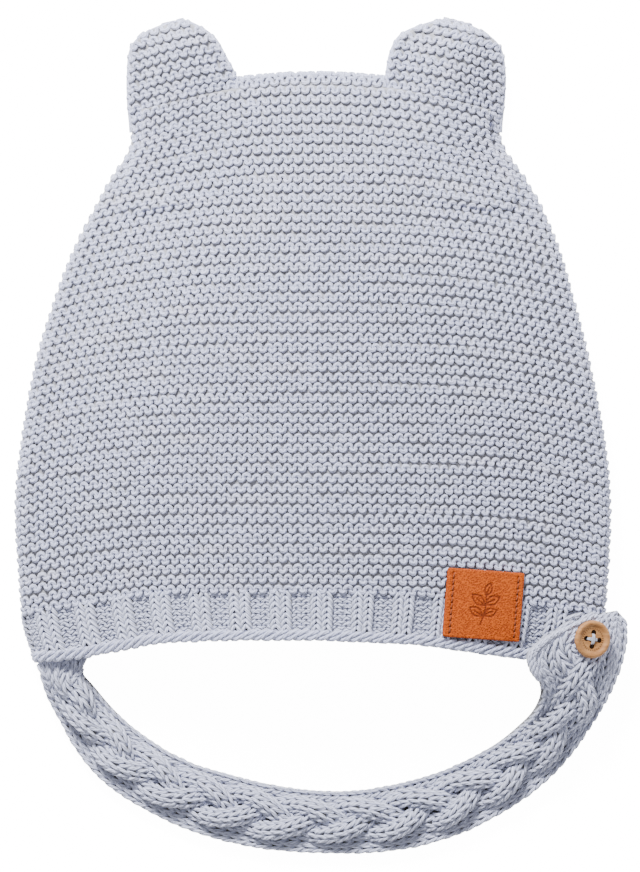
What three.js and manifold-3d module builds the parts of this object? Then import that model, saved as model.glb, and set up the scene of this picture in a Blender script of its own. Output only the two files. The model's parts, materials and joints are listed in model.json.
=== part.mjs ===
// A knitted baby hat with two ears, lying on its back as it does after being put down flat.
// Millimetres. X runs across the hat, Y from the chin strap up to the ears, Z up from the table.
// The hat is a hollow knitted bag. Its back lies flat on the table, its front rises as a soft
// dome, and the two meet in a soft fold down each side. It is open at the rim.
import * as THREE from "three";
import Module from "manifold-3d";

const wasm = await Module();
wasm.setup();
const { Manifold, Mesh: RawMesh } = wasm;

// Sizes of the bag
const HAT_WIDTH = 196.6; // widest, fold to fold, as it lies
const CROWN_LENGTH = 187.2; // rim to top seam, at the middle
const ORIGIN_UP = 90; // the part's origin is this far up from the rim
const WALL = 3.1; // garter fabric, front to back of one layer
const SIDE_FOLD = 6.5; // radius of the fold down each side
const TOP_FOLD = 3.6; // radius of the rolled top seam
const PUFF = 26; // how far the front rises above the folds
const DOME_POWER = 1.3; // 1 is a plain parabola across, more is flatter by the folds
const RIM_SAG = 7.9; // how much lower a row lies at the folds than at the middle, by the rim
const TOP_SAG = 10; // and by the ears, where the rows tilt more evenly
const RIM_DROOP = 60; // the rim's own uneven droop fades out over this length of the crown
const GAP = 0.3; // between two pieces that touch

// Sizes of the ears
const EAR_DEEP = 27.2; // the ear pouch starts this far below the top seam, inside the crown
const EAR_BASE = CROWN_LENGTH - EAR_DEEP;
const EAR_LENGTH = 49.7; // from there to its top, along the knitting
const EAR_FOLD = 4; // radius of its edge
const EAR_PUFF = 7; // how far its front rises above its edge
const EAR_SEEN = CROWN_LENGTH - 5.7; // the pouch itself starts here, above its blended root
const ROOT_SHARE = 0.98; // the root lies just under the pouch's own surface

// Sizes of the brim
const BAND_DEPTH = 15.5; // rim to the top of the ribbing
const RIM_CORD = 3.3; // depth of the bound-off edge
const RIM_THICK = 4;
const RIBS_AROUND = 30;
const RIB_HEIGHT = 1.2; // a knit rib stands this proud of the groove beside it
const RIB_WALL = 3;

// Sizes of the chin strap
const STRAP_THICK = 7.2; // over the plait
const STRAP_EDGE = 4.3; // over the edge chains
const PLAIT_PERIOD = 56; // length in which a strand of the plait comes back to its place
const PLAIT_SWING = 3.9; // how far a strand goes to either side
const STRAND_RADIUS = 3.3;
const STRAP_STEPS = 64;

// Sizes of the button and its thread
const BUTTON_ACROSS = 12.5;
const BUTTON_THICK = 2.3;
const BUTTON_DISH = 0.8; // how deep the middle is sunk
const BUTTON_RIM = 1.7; // width of the raised rim
const HOLE_RADIUS = 0.72;
const HOLES_OUT = 2.25; // from the button's middle to a hole's middle
const HOLES_TURN = -14; // degrees from the tab's run
const THREAD_RADIUS = 0.27;

// Sizes of the label
const LABEL_WIDE = 25.2; // as seen from above
const LABEL_TALL = 22.6;
const LABEL_THICK = 1.1;
const LABEL_TURN = -4.5; // degrees
const LABEL_CLEAR = 0.45; // under the label, over the front of the hat

// The crown, level by level. up is a share of CROWN_LENGTH, left and right of half HAT_WIDTH,
// puff of PUFF and fold of SIDE_FOLD.
const CROWN_LEVELS = [
  { up: 0.0, left: 0.93, right: 0.93, puff: 0.98, fold: 1 },
  { up: 0.07, left: 0.972, right: 0.972, puff: 1, fold: 1 },
  { up: 0.17, left: 0.99, right: 0.992, puff: 1.03, fold: 1 },
  { up: 0.29, left: 1.0, right: 0.998, puff: 1.03, fold: 1 },
  { up: 0.38, left: 0.984, right: 0.985, puff: 1, fold: 1 },
  { up: 0.468, left: 0.958, right: 0.956, puff: 0.97, fold: 1 },
  { up: 0.557, left: 0.922, right: 0.921, puff: 0.91, fold: 0.98 },
  { up: 0.646, left: 0.87, right: 0.878, puff: 0.82, fold: 0.95 },
  { up: 0.735, left: 0.807, right: 0.83, puff: 0.68, fold: 0.9 },
  { up: 0.823, left: 0.723, right: 0.76, puff: 0.48, fold: 0.82 },
  { up: 0.868, left: 0.676, right: 0.709, puff: 0.37, fold: 0.76 },
  { up: 0.912, left: 0.622, right: 0.65, puff: 0.26, fold: 0.68 },
  { up: 0.945, left: 0.612, right: 0.63, puff: 0.17, fold: 0.63 },
  { up: 0.981, left: 0.617, right: 0.635, puff: 0.05, fold: 0.6 },
  { up: 1.0, left: 0.617, right: 0.635, puff: 0, fold: 0.6 },
];

// The two ears, from inside the crown to their tops. up is a share of EAR_LENGTH, outer and
// inner edges of half HAT_WIDTH, puff of EAR_PUFF.
const LEFT_EAR = [
  { up: 0.0, outer: 0.62, inner: 0.22, puff: 0.9 },
  { up: 0.27, outer: 0.616, inner: 0.235, puff: 0.95 },
  { up: 0.38, outer: 0.617, inner: 0.242, puff: 1 },
  { up: 0.55, outer: 0.625, inner: 0.253, puff: 1 },
  { up: 0.69, outer: 0.626, inner: 0.288, puff: 0.95 },
  { up: 0.81, outer: 0.624, inner: 0.318, puff: 0.8 },
  { up: 0.87, outer: 0.62, inner: 0.342, puff: 0.6 },
  { up: 0.935, outer: 0.606, inner: 0.382, puff: 0.3 },
  { up: 0.975, outer: 0.575, inner: 0.415, puff: 0.1 },
  { up: 1.0, outer: 0.51, inner: 0.43, puff: 0 },
];
const RIGHT_EAR = [
  { up: 0.0, outer: 0.64, inner: 0.2, puff: 0.9 },
  { up: 0.27, outer: 0.634, inner: 0.215, puff: 0.95 },
  { up: 0.38, outer: 0.635, inner: 0.225, puff: 1 },
  { up: 0.55, outer: 0.644, inner: 0.24, puff: 1 },
  { up: 0.69, outer: 0.647, inner: 0.252, puff: 0.95 },
  { up: 0.81, outer: 0.644, inner: 0.278, puff: 0.8 },
  { up: 0.87, outer: 0.637, inner: 0.31, puff: 0.6 },
  { up: 0.935, outer: 0.622, inner: 0.374, puff: 0.3 },
  { up: 0.975, outer: 0.578, inner: 0.412, puff: 0.1 },
  { up: 1.0, outer: 0.53, inner: 0.44, puff: 0 },
];

// The chin strap, from its end inside the hat, round the loop, to the tab with the button.
// Each row gives both edges of the band: across is a share of half HAT_WIDTH, up of
// CROWN_LENGTH from the rim, and height of STRAP_THICK above the table, under that edge.
// full is how much of the plait's relief stands there.
const STRAP_LEVELS = [
  { outAcross: -0.845, outUp: 0.05, inAcross: -0.66, inUp: 0.05, outHigh: 0.66, inHigh: 0.66, full: 0 },
  { outAcross: -0.85, outUp: -0.012, inAcross: -0.72, inUp: -0.012, outHigh: 0.66, inHigh: 0.66, full: 0 },
  { outAcross: -0.862, outUp: -0.043, inAcross: -0.75, inUp: -0.036, outHigh: 0.66, inHigh: 0.66, full: 0.1 },
  { outAcross: -0.91, outUp: -0.066, inAcross: -0.766, inUp: -0.063, outHigh: 0.55, inHigh: 0.66, full: 0.5 },
  { outAcross: -0.892, outUp: -0.1, inAcross: -0.729, inUp: -0.086, outHigh: 0.25, inHigh: 0.45, full: 0.9 },
  { outAcross: -0.854, outUp: -0.139, inAcross: -0.679, inUp: -0.116, outHigh: 0.08, inHigh: 0.2, full: 1 },
  { outAcross: -0.807, outUp: -0.185, inAcross: -0.619, inUp: -0.146, outHigh: 0, inHigh: 0.04, full: 1 },
  { outAcross: -0.74, outUp: -0.232, inAcross: -0.556, inUp: -0.171, outHigh: 0, inHigh: 0, full: 1 },
  { outAcross: -0.653, outUp: -0.271, inAcross: -0.479, inUp: -0.197, outHigh: 0, inHigh: 0, full: 1 },
  { outAcross: -0.552, outUp: -0.303, inAcross: -0.385, inUp: -0.22, outHigh: 0, inHigh: 0, full: 1 },
  { outAcross: -0.439, outUp: -0.331, inAcross: -0.291, inUp: -0.234, outHigh: 0, inHigh: 0, full: 1 },
  { outAcross: -0.305, outUp: -0.354, inAcross: -0.191, inUp: -0.248, outHigh: 0, inHigh: 0, full: 1 },
  { outAcross: -0.151, outUp: -0.37, inAcross: -0.067, inUp: -0.26, outHigh: 0, inHigh: 0, full: 1 },
  { outAcross: 0.017, outUp: -0.376, inAcross: 0.04, inUp: -0.265, outHigh: 0, inHigh: 0, full: 1 },
  { outAcross: 0.174, outUp: -0.376, inAcross: 0.151, inUp: -0.264, outHigh: 0, inHigh: 0, full: 1 },
  { outAcross: 0.331, outUp: -0.367, inAcross: 0.258, inUp: -0.255, outHigh: 0, inHigh: 0, full: 1 },
  { outAcross: 0.475, outUp: -0.346, inAcross: 0.361, inUp: -0.242, outHigh: 0, inHigh: 0, full: 1 },
  { outAcross: 0.599, outUp: -0.316, inAcross: 0.455, inUp: -0.225, outHigh: 0, inHigh: 0, full: 1 },
  { outAcross: 0.713, outUp: -0.279, inAcross: 0.539, inUp: -0.204, outHigh: 0.1, inHigh: 0.11, full: 1 },
  { outAcross: 0.813, outUp: -0.234, inAcross: 0.616, inUp: -0.181, outHigh: 0.28, inHigh: 0.35, full: 1 },
  { outAcross: 0.893, outUp: -0.183, inAcross: 0.679, inUp: -0.156, outHigh: 0.56, inHigh: 0.77, full: 1 },
  { outAcross: 0.95, outUp: -0.135, inAcross: 0.729, inUp: -0.132, outHigh: 0.84, inHigh: 1.33, full: 1 },
  { outAcross: 0.99, outUp: -0.098, inAcross: 0.76, inUp: -0.1, outHigh: 1.0, inHigh: 1.9, full: 0.95 },
  { outAcross: 1.017, outUp: -0.065, inAcross: 0.753, inUp: -0.072, outHigh: 1.12, inHigh: 2.46, full: 0.75 },
  { outAcross: 1.037, outUp: -0.035, inAcross: 0.722, inUp: -0.049, outHigh: 1.15, inHigh: 2.84, full: 0.5 },
  { outAcross: 1.05, outUp: 0, inAcross: 0.719, inUp: -0.018, outHigh: 1.15, inHigh: 2.92, full: 0.25 },
  { outAcross: 1.047, outUp: 0.035, inAcross: 0.8, inUp: 0.014, outHigh: 1.2, inHigh: 2.54, full: 0.1 },
  { outAcross: 1.018, outUp: 0.053, inAcross: 0.925, inUp: 0.045, outHigh: 1.4, inHigh: 1.94, full: 0 },
];

// The droop of the rim, from fold to fold. out is a share of the rim's half width and low a
// share of RIM_SAG. It fades out up the crown, over RIM_DROOP.
const RIM_DROOPS = [
  { out: -1.03, low: 1.04 },
  { out: -0.86, low: 0.87 },
  { out: -0.72, low: 0.58 },
  { out: -0.57, low: 0.22 },
  { out: -0.4, low: 0.07 },
  { out: -0.2, low: 0.01 },
  { out: 0.0, low: 0 },
  { out: 0.2, low: 0.1 },
  { out: 0.36, low: 0.21 },
  { out: 0.5, low: 0.44 },
  { out: 0.65, low: 0.7 },
  { out: 0.8, low: 0.92 },
  { out: 1.03, low: 1.1 },
];

// Where the button and the label sit: across is a share of half HAT_WIDTH, up of CROWN_LENGTH.
const BUTTON_AT = { across: 0.904, up: 0.004 };
const LABEL_AT = { across: 0.565, up: 0.064 };

// Reads a column of a table at t, as a smooth curve through its rows.
function read(table, column, t, key = "up") {
  let i = 0;
  while (i < table.length - 2 && t > table[i + 1][key]) i++;
  const a = table[i];
  const b = table[i + 1];
  const before = table[Math.max(i - 1, 0)];
  const after = table[Math.min(i + 2, table.length - 1)];
  const span = b[key] - a[key];
  const k = Math.min(Math.max((t - a[key]) / span, 0), 1);
  const slopeA = ((b[column] - before[column]) / (b[key] - before[key])) * span;
  const slopeB = ((after[column] - a[column]) / (after[key] - a[key])) * span;
  const k2 = k * k;
  const k3 = k2 * k;
  return (
    (2 * k3 - 3 * k2 + 1) * a[column] +
    (k3 - 2 * k2 + k) * slopeA +
    (3 * k2 - 2 * k3) * b[column] +
    (k3 - k2) * slopeB
  );
}

const half = HAT_WIDTH / 2;

// The crown's shape at a level: middle, half width, fold radius and rise of the front.
function crownLevel(up) {
  const t = Math.min(Math.max(up / CROWN_LENGTH, 0), 1);
  const left = -half * read(CROWN_LEVELS, "left", t);
  const right = half * read(CROWN_LEVELS, "right", t);
  return {
    middle: (left + right) / 2,
    width: (right - left) / 2,
    fold: SIDE_FOLD * read(CROWN_LEVELS, "fold", t),
    puff: PUFF * Math.max(read(CROWN_LEVELS, "puff", t), 0),
  };
}

// How far a row has sagged at x, since its ends lie lower than its middle.
function sag(x, up) {
  const t = Math.min(Math.max(up / CROWN_LENGTH, 0), 1);
  const level = crownLevel(up);
  const power = 5 - 3 * t;
  const depth = RIM_SAG + (TOP_SAG - RIM_SAG) * t;
  const out = Math.min(Math.max((x - level.middle) / level.width, -1.03), 1.03);
  const even = depth * Math.pow(Math.abs(out), power);
  const near = Math.max(1 - Math.max(up, 0) / RIM_DROOP, 0) ** 2;
  return even + (RIM_SAG * read(RIM_DROOPS, "low", out, "out") - even) * near;
}

const toY = (x, up) => up - sag(x, up) - ORIGIN_UP;

// Height of the front above the table.
function frontHeight(x, up) {
  const { middle, width, fold, puff } = crownLevel(up);
  const flat = width - fold;
  const out = Math.abs(x - middle);
  if (out < flat) return 2 * fold + puff * Math.pow(1 - (out / flat) ** 2, DOME_POWER);
  return fold + Math.sqrt(Math.max(fold ** 2 - (out - flat) ** 2, 0));
}

// One closed ring of [x, z] round a level, counter-clockwise seen from the rim.
// inset moves it inwards, so the same call gives the lining of the wall.
function ringAt(level, inset, counts) {
  const { middle, width, fold, puff } = level;
  const centre = level.centre ?? fold;
  const flat = Math.max(width - fold, 0.4);
  const r = Math.max(fold - inset, 0.25);
  const points = [];
  for (let i = 0; i < counts.back; i++) {
    points.push([middle + flat * (-1 + (2 * i) / counts.back), centre - r]);
  }
  for (let i = 0; i < counts.fold; i++) {
    const a = -Math.PI / 2 + (Math.PI * i) / counts.fold;
    points.push([middle + flat + r * Math.cos(a), centre + r * Math.sin(a)]);
  }
  for (let i = 0; i < counts.front; i++) {
    const x = Math.cos((Math.PI * i) / counts.front);
    const dome = puff * Math.pow(Math.max(1 - x * x, 0), DOME_POWER);
    const across = middle + flat * x;
    const height = centre + r + dome;
    points.push([across, level.roots ? Math.max(height, level.roots(across) - inset) : height]);
  }
  for (let i = 0; i < counts.fold; i++) {
    const a = Math.PI / 2 + (Math.PI * i) / counts.fold;
    points.push([middle - flat + r * Math.cos(a), centre + r * Math.sin(a)]);
  }
  return points;
}

// A closed body from rings of [x, y, z] that all have the same number of points.
function loft(rings) {
  const n = rings[0].length;
  const verts = rings.flat();
  const tris = [];
  const middleOf = (ring) =>
    [0, 1, 2].map((k) => ring.reduce((sum, p) => sum + p[k], 0) / ring.length);
  for (let j = 0; j + 1 < rings.length; j++) {
    for (let i = 0; i < n; i++) {
      const a = j * n + i;
      const b = j * n + ((i + 1) % n);
      tris.push([a, b, b + n], [a, b + n, a + n]);
    }
  }
  const first = verts.push(middleOf(rings[0])) - 1;
  const last = verts.push(middleOf(rings[rings.length - 1])) - 1;
  const top = (rings.length - 1) * n;
  for (let i = 0; i < n; i++) {
    tris.push([first, (i + 1) % n, i]);
    tris.push([last, top + i, top + ((i + 1) % n)]);
  }
  return { verts, tris };
}

// A closed hoop: rings of [x, y, z] one after another, the last joined to the first.
function hoop(rings) {
  const n = rings[0].length;
  const m = rings.length;
  const tris = [];
  for (let j = 0; j < m; j++) {
    for (let i = 0; i < n; i++) {
      const a = j * n + i;
      const b = j * n + ((i + 1) % n);
      const c = ((j + 1) % m) * n + ((i + 1) % n);
      const d = ((j + 1) % m) * n + i;
      tris.push([a, b, c], [a, c, d]);
    }
  }
  return { verts: rings.flat(), tris };
}

function turned({ verts, tris }) {
  return { verts, tris: tris.map(([a, b, c]) => [a, c, b]) };
}

function volume({ verts, tris }) {
  let sum = 0;
  for (const [a, b, c] of tris) {
    const [p, q, r] = [verts[a], verts[b], verts[c]];
    sum +=
      p[0] * (q[1] * r[2] - q[2] * r[1]) -
      p[1] * (q[0] * r[2] - q[2] * r[0]) +
      p[2] * (q[0] * r[1] - q[1] * r[0]);
  }
  return sum / 6;
}

const outward = (body) => (volume(body) < 0 ? turned(body) : body);

function toSolid(body) {
  const { verts, tris } = outward(body);
  return new Manifold(
    new RawMesh({
      numProp: 3,
      vertProperties: new Float32Array(verts.flat()),
      triVerts: new Uint32Array(tris.flat()),
    }),
  );
}

function geometryOf(body) {
  const { verts, tris } = outward(body);
  const geometry = new THREE.BufferGeometry();
  geometry.setAttribute("position", new THREE.BufferAttribute(new Float32Array(verts.flat()), 3));
  geometry.setIndex(tris.flat());
  geometry.computeVertexNormals();
  return geometry;
}

function geometryOfSolid(solid) {
  const raw = solid.getMesh();
  const verts = [];
  for (let i = 0; i < raw.vertProperties.length; i += raw.numProp) {
    verts.push([...raw.vertProperties.slice(i, i + 3)]);
  }
  const tris = [];
  for (let i = 0; i < raw.triVerts.length; i += 3) {
    tris.push([...raw.triVerts.slice(i, i + 3)]);
  }
  return geometryOf({ verts, tris });
}

// The crown and its ears

const BODY_COUNTS = { back: 12, fold: 5, front: 28 };
const LINING_COUNTS = { back: 10, fold: 3, front: 16 };
const EAR_COUNTS = { back: 5, fold: 4, front: 8 };
const EAR_LINING_COUNTS = { back: 4, fold: 3, front: 6 };

// The radius of a closing edge, up to where it ends.
function closing(radius, left) {
  if (left >= radius) return radius;
  return Math.sqrt(Math.max(radius ** 2 - (radius - left) ** 2, 0.06));
}

function earLevel(table, side, up) {
  const t = Math.min(Math.max((up - EAR_BASE) / EAR_LENGTH, 0), 1);
  const outer = side * half * read(table, "outer", t);
  const inner = side * half * read(table, "inner", t);
  return {
    middle: (outer + inner) / 2,
    width: Math.abs(outer - inner) / 2,
    fold: EAR_FOLD,
    puff: EAR_PUFF * Math.max(read(table, "puff", t), 0),
  };
}

// How high the crown's front stands where an ear grows out of it, blended into the crown.
function earRoots(up) {
  const plain = crownLevel(up);
  return (x) => {
    let height = -Infinity;
    for (const [table, side] of [[LEFT_EAR, -1], [RIGHT_EAR, 1]]) {
      const ear = earLevel(table, side, up);
      const out = Math.abs(x - ear.middle) / (ear.width + EAR_FOLD);
      if (out >= 1) continue;
      const away = (x - plain.middle) / plain.width;
      const crown = plain.puff * Math.pow(Math.max(1 - away ** 2, 0), DOME_POWER);
      const own = ear.puff * Math.pow(1 - out ** 2, DOME_POWER);
      const under = 2 * Math.max(plain.fold, TOP_FOLD);
      height = Math.max(height, under + Math.hypot(crown, own) * ROOT_SHARE);
    }
    return height;
  };
}

function crownBag(inset, counts, from, levels) {
  const end = CROWN_LENGTH - inset;
  const rings = levels.map((share) => {
    const up = from + (end - from) * share;
    const level = crownLevel(up);
    const r = closing(TOP_FOLD, CROWN_LENGTH - up);
    const centre = level.fold;
    if (CROWN_LENGTH - up < TOP_FOLD) {
      level.width -= level.fold - r;
      level.fold = r;
    }
    level.centre = Math.max(centre, TOP_FOLD);
    if (up > EAR_BASE && CROWN_LENGTH - up >= TOP_FOLD) level.roots = earRoots(up);
    return ringAt(level, inset, counts).map(([x, z]) => [x, toY(x, up), z]);
  });
  return toSolid(loft(rings));
}

function earBag(table, side, inset, counts, levels) {
  const top = EAR_BASE + EAR_LENGTH;
  const rings = levels.map((share) => {
    const up = EAR_SEEN + (top - inset - EAR_SEEN) * share;
    const level = earLevel(table, side, up);
    level.centre = EAR_FOLD;
    if (top - up < EAR_FOLD) {
      const r = closing(EAR_FOLD, top - up);
      level.width -= (level.fold - r) * 0.4;
      level.fold = r;
    }
    return ringAt(level, inset, counts).map(([x, z]) => [x, toY(x, up), z]);
  });
  return toSolid(loft(rings));
}

const shares = (n) => Array.from({ length: n + 1 }, (_, i) => i / n);
const bodyLevels = [...shares(14).slice(0, -2), 0.9, 0.93, 0.958, 0.9785, 0.986, 0.993, 0.998, 1];
const liningLevels = [...shares(11).slice(0, -1), 0.96, 0.99, 1];
const earLevels = [0, 0.14, 0.28, 0.42, 0.56, 0.68, 0.78, 0.86, 0.92, 0.96, 0.985, 1];
const earLiningLevels = [0, 0.3, 0.56, 0.78, 0.92, 1];
const crownFrom = BAND_DEPTH + GAP;
const overlap = GAP * 10; // the bags start this far below the row they are cut off along

// Everything below the row at this level, for cutting the crown off along that row.
function below(up) {
  const reach = half * 1.08;
  const rings = shares(44).map((share) => {
    const x = -reach + 2 * reach * share;
    const [near, far] = [-ORIGIN_UP - 40, toY(x, up)];
    return [
      [x, near, -5],
      [x, far, -5],
      [x, far, 60],
      [x, near, 60],
    ];
  });
  return toSolid(loft(rings));
}

const outside = Manifold.union([
  crownBag(0, BODY_COUNTS, crownFrom - overlap, bodyLevels),
  earBag(LEFT_EAR, -1, 0, EAR_COUNTS, earLevels),
  earBag(RIGHT_EAR, 1, 0, EAR_COUNTS, earLevels),
]);
const inside = Manifold.union([
  crownBag(WALL, LINING_COUNTS, crownFrom - 2 * overlap, liningLevels),
  earBag(LEFT_EAR, -1, WALL, EAR_LINING_COUNTS, earLiningLevels),
  earBag(RIGHT_EAR, 1, WALL, EAR_LINING_COUNTS, earLiningLevels),
]);
const crownSolid = outside.subtract(inside).subtract(below(crownFrom));

// The brim

// Evenly spaced places round a level, each with the way out of the wall.
function walkRound(up, count) {
  const fine = ringAt(crownLevel(up), 0, { back: 60, fold: 24, front: 120 });
  const n = fine.length;
  const start = 60 + 24 + 60; // the middle of the front
  const order = Array.from({ length: n + 1 }, (_, i) => fine[(start + i) % n]);
  const length = [0];
  for (let i = 1; i <= n; i++) {
    length.push(
      length[i - 1] + Math.hypot(order[i][0] - order[i - 1][0], order[i][1] - order[i - 1][1]),
    );
  }
  const places = [];
  let j = 0;
  for (let k = 0; k < count; k++) {
    const want = (length[n] * k) / count;
    while (length[j + 1] < want) j++;
    const f = (want - length[j]) / (length[j + 1] - length[j]);
    const [a, b] = [order[j], order[j + 1]];
    const step = Math.hypot(b[0] - a[0], b[1] - a[1]);
    places.push({
      x: a[0] + (b[0] - a[0]) * f,
      z: a[1] + (b[1] - a[1]) * f,
      outX: (b[1] - a[1]) / step,
      outZ: -(b[0] - a[0]) / step,
    });
  }
  return places;
}

// Six places to a rib: two over the knit rib, two down its sides, two in the groove.
const RIB_PROFILE = [1, 1, 0.5, 0, 0, 0.5];

function ribBand() {
  const count = RIBS_AROUND * RIB_PROFILE.length;
  const low = RIM_CORD + GAP;
  const levels = [low, BAND_DEPTH].map((up) => ({ up, places: walkRound(up, count) }));
  const rings = [];
  for (let k = 0; k < count; k++) {
    const proud = RIB_HEIGHT * RIB_PROFILE[k % RIB_PROFILE.length];
    const outerInset = RIB_HEIGHT - proud;
    const innerInset = outerInset + RIB_WALL;
    const corner = ({ up, places }, inset) => {
      const p = places[k];
      const x = p.x - p.outX * inset;
      return [x, toY(x, up), p.z - p.outZ * inset];
    };
    rings.push([
      corner(levels[0], outerInset),
      corner(levels[1], outerInset),
      corner(levels[1], innerInset),
      corner(levels[0], innerInset),
    ]);
  }
  return geometryOf(hoop(rings));
}

function rimEdge() {
  const count = 84;
  const sides = 8;
  const up = RIM_CORD / 2;
  const rings = walkRound(up, count).map((p) => {
    const ring = [];
    for (let i = 0; i < sides; i++) {
      const a = (2 * Math.PI * (i + 0.5)) / sides;
      const inset = RIM_THICK / 2 - (RIM_THICK / 2) * Math.cos(a);
      const along = (RIM_CORD / 2) * Math.sin(a);
      ring.push([p.x - p.outX * inset, toY(p.x, up) + along, p.z - p.outZ * inset]);
    }
    return ring;
  });
  return geometryOf(hoop(rings));
}

// The chin strap

const strapRows = STRAP_LEVELS.map((row, i) => ({ ...row, at: i / (STRAP_LEVELS.length - 1) }));

// Both edges of the band at a share of the way along it.
function strapEdges(t) {
  const get = (column) => read(strapRows, column, t, "at");
  const out = new THREE.Vector3(
    half * get("outAcross"),
    CROWN_LENGTH * get("outUp") - ORIGIN_UP,
    STRAP_THICK * Math.max(get("outHigh"), 0),
  );
  const inn = new THREE.Vector3(
    half * get("inAcross"),
    CROWN_LENGTH * get("inUp") - ORIGIN_UP,
    STRAP_THICK * Math.max(get("inHigh"), 0),
  );
  return { out, inn, full: Math.min(Math.max(get("full"), 0), 1) };
}

// Places along the strap at even distances, with the distance from its start.
function strapStations() {
  const fine = shares(600).map((t) => {
    const { out, inn } = strapEdges(t);
    return out.add(inn).multiplyScalar(0.5);
  });
  const length = [0];
  for (let i = 1; i < fine.length; i++) length.push(length[i - 1] + fine[i].distanceTo(fine[i - 1]));
  const whole = length[length.length - 1];
  const stations = [];
  let j = 0;
  for (let k = 0; k <= STRAP_STEPS; k++) {
    const want = (whole * k) / STRAP_STEPS;
    while (j < 599 && length[j + 1] < want) j++;
    const f = (want - length[j]) / (length[j + 1] - length[j]);
    stations.push({ t: (j + f) / 600, along: want });
  }
  return stations;
}

// The way across the strap to its outer edge, and the way up out of it, at a share of its run.
function strapAxes(t) {
  const { out, inn } = strapEdges(t);
  const ahead = strapEdges(Math.min(t + 0.004, 1));
  const behind = strapEdges(Math.max(t - 0.004, 0));
  const forward = ahead.out.add(ahead.inn).sub(behind.out).sub(behind.inn).normalize();
  const side = out.sub(inn).normalize();
  const up = new THREE.Vector3().crossVectors(side, forward).normalize();
  if (up.z < 0) up.negate();
  return { side, up };
}

// Height of the plait over the strap's foot, across mm from its middle.
function plaitHeight(across, along) {
  let height = 0;
  for (let strand = 0; strand < 3; strand++) {
    const turn = 2 * Math.PI * (along / PLAIT_PERIOD + strand / 3);
    const off = across - PLAIT_SWING * Math.sin(turn);
    const lift = STRAP_THICK - STRAND_RADIUS - 0.9 + 0.9 * Math.cos(2 * turn);
    if (Math.abs(off) < STRAND_RADIUS) {
      height = Math.max(height, lift + Math.sqrt(STRAND_RADIUS ** 2 - off ** 2));
    }
  }
  return height;
}

// Across the band: its foot, then its top from the outer edge chain over the plait.
const STRAP_TOP = [-0.96, -0.86, -0.7, -0.52, -0.34, -0.17, 0, 0.17, 0.34, 0.52, 0.7, 0.86, 0.96];

function chinStrap() {
  const rings = strapStations().map(({ t, along }) => {
    const { out, inn, full } = strapEdges(t);
    const wide = out.distanceTo(inn);
    const middle = out.clone().add(inn).multiplyScalar(0.5);
    const { side, up } = strapAxes(t);
    const place = (share, height) =>
      middle.clone().addScaledVector(side, (share * wide) / 2).addScaledVector(up, height).toArray();
    const ring = [place(1, STRAP_EDGE * 0.4), place(0.88, 0), place(-0.88, 0), place(-1, STRAP_EDGE * 0.4)];
    for (const share of STRAP_TOP) {
      const edge = Math.abs(share);
      let height = STRAP_EDGE * (edge > 0.9 ? 0.8 : 1);
      if (edge <= 0.7) {
        const flat = STRAP_EDGE * (edge > 0.6 ? 0.85 : 1.1);
        height = flat + (Math.max(plaitHeight((share * wide) / 2, along), flat * 0.85) - flat) * full;
      }
      ring.push(place(share, height));
    }
    return ring;
  });
  return geometryOf(loft(rings));
}

// The button, its thread and the label

// Axes of a small thing that lies on the strap's tab at a place.
function onTab(x, y, lift) {
  let best = { away: Infinity };
  for (const t of shares(400)) {
    if (t < 0.8) continue;
    const { out, inn } = strapEdges(t);
    const across = out.clone().sub(inn);
    const f = Math.min(Math.max((x - inn.x) / across.x, 0), 1);
    const p = inn.clone().addScaledVector(across, f);
    const away = Math.hypot(p.x - x, p.y - y);
    if (away < best.away) best = { away, p, t };
  }
  const { side, up } = strapAxes(best.t);
  const along = new THREE.Vector3().crossVectors(up, side).normalize();
  const matrix = new THREE.Matrix4().makeBasis(side, along, up);
  matrix.setPosition(best.p.addScaledVector(up, lift));
  return matrix;
}

const TAB_TOP = STRAP_THICK * 0.78;
const buttonFrame = onTab(
  half * BUTTON_AT.across,
  CROWN_LENGTH * BUTTON_AT.up - ORIGIN_UP,
  TAB_TOP + GAP,
);
const holeAngle = (i) => (HOLES_TURN * Math.PI) / 180 + (Math.PI / 2) * i;

function button() {
  const r = BUTTON_ACROSS / 2;
  const dish = BUTTON_THICK - BUTTON_DISH;
  const profile = [
    [0, 0],
    [r - 1.1, 0],
    [r - 0.3, 0.35],
    [r, 0.95],
    [r - 0.05, 1.6],
    [r - 0.5, BUTTON_THICK - 0.15],
    [r - 0.9, BUTTON_THICK],
    [r - BUTTON_RIM + 0.2, BUTTON_THICK - 0.2],
    [r - BUTTON_RIM - 0.5, dish + 0.1],
    [0, dish],
  ].map(([x, y]) => new THREE.Vector2(x, y));
  const lathe = new THREE.LatheGeometry(profile, 28);
  lathe.rotateX(Math.PI / 2);
  const at = lathe.getAttribute("position");
  const verts = [];
  const found = new Map();
  const same = [];
  for (let i = 0; i < at.count; i++) {
    const p = [at.getX(i), at.getY(i), at.getZ(i)];
    const key = p.map((v) => Math.round(v * 1e4) || 0).join();
    if (!found.has(key)) found.set(key, verts.push(p) - 1);
    same.push(found.get(key));
  }
  const index = lathe.index.array;
  const tris = [];
  for (let i = 0; i < index.length; i += 3) {
    const tri = [same[index[i]], same[index[i + 1]], same[index[i + 2]]];
    if (new Set(tri).size === 3) tris.push(tri);
  }
  let solid = toSolid({ verts, tris });
  for (let i = 0; i < 4; i++) {
    const a = holeAngle(i);
    const drill = Manifold.cylinder(4, HOLE_RADIUS, HOLE_RADIUS, 12);
    solid = solid.subtract(
      drill.translate([HOLES_OUT * Math.cos(a), HOLES_OUT * Math.sin(a), -0.5]),
    );
  }
  return geometryOfSolid(solid).applyMatrix4(buttonFrame);
}

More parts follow.
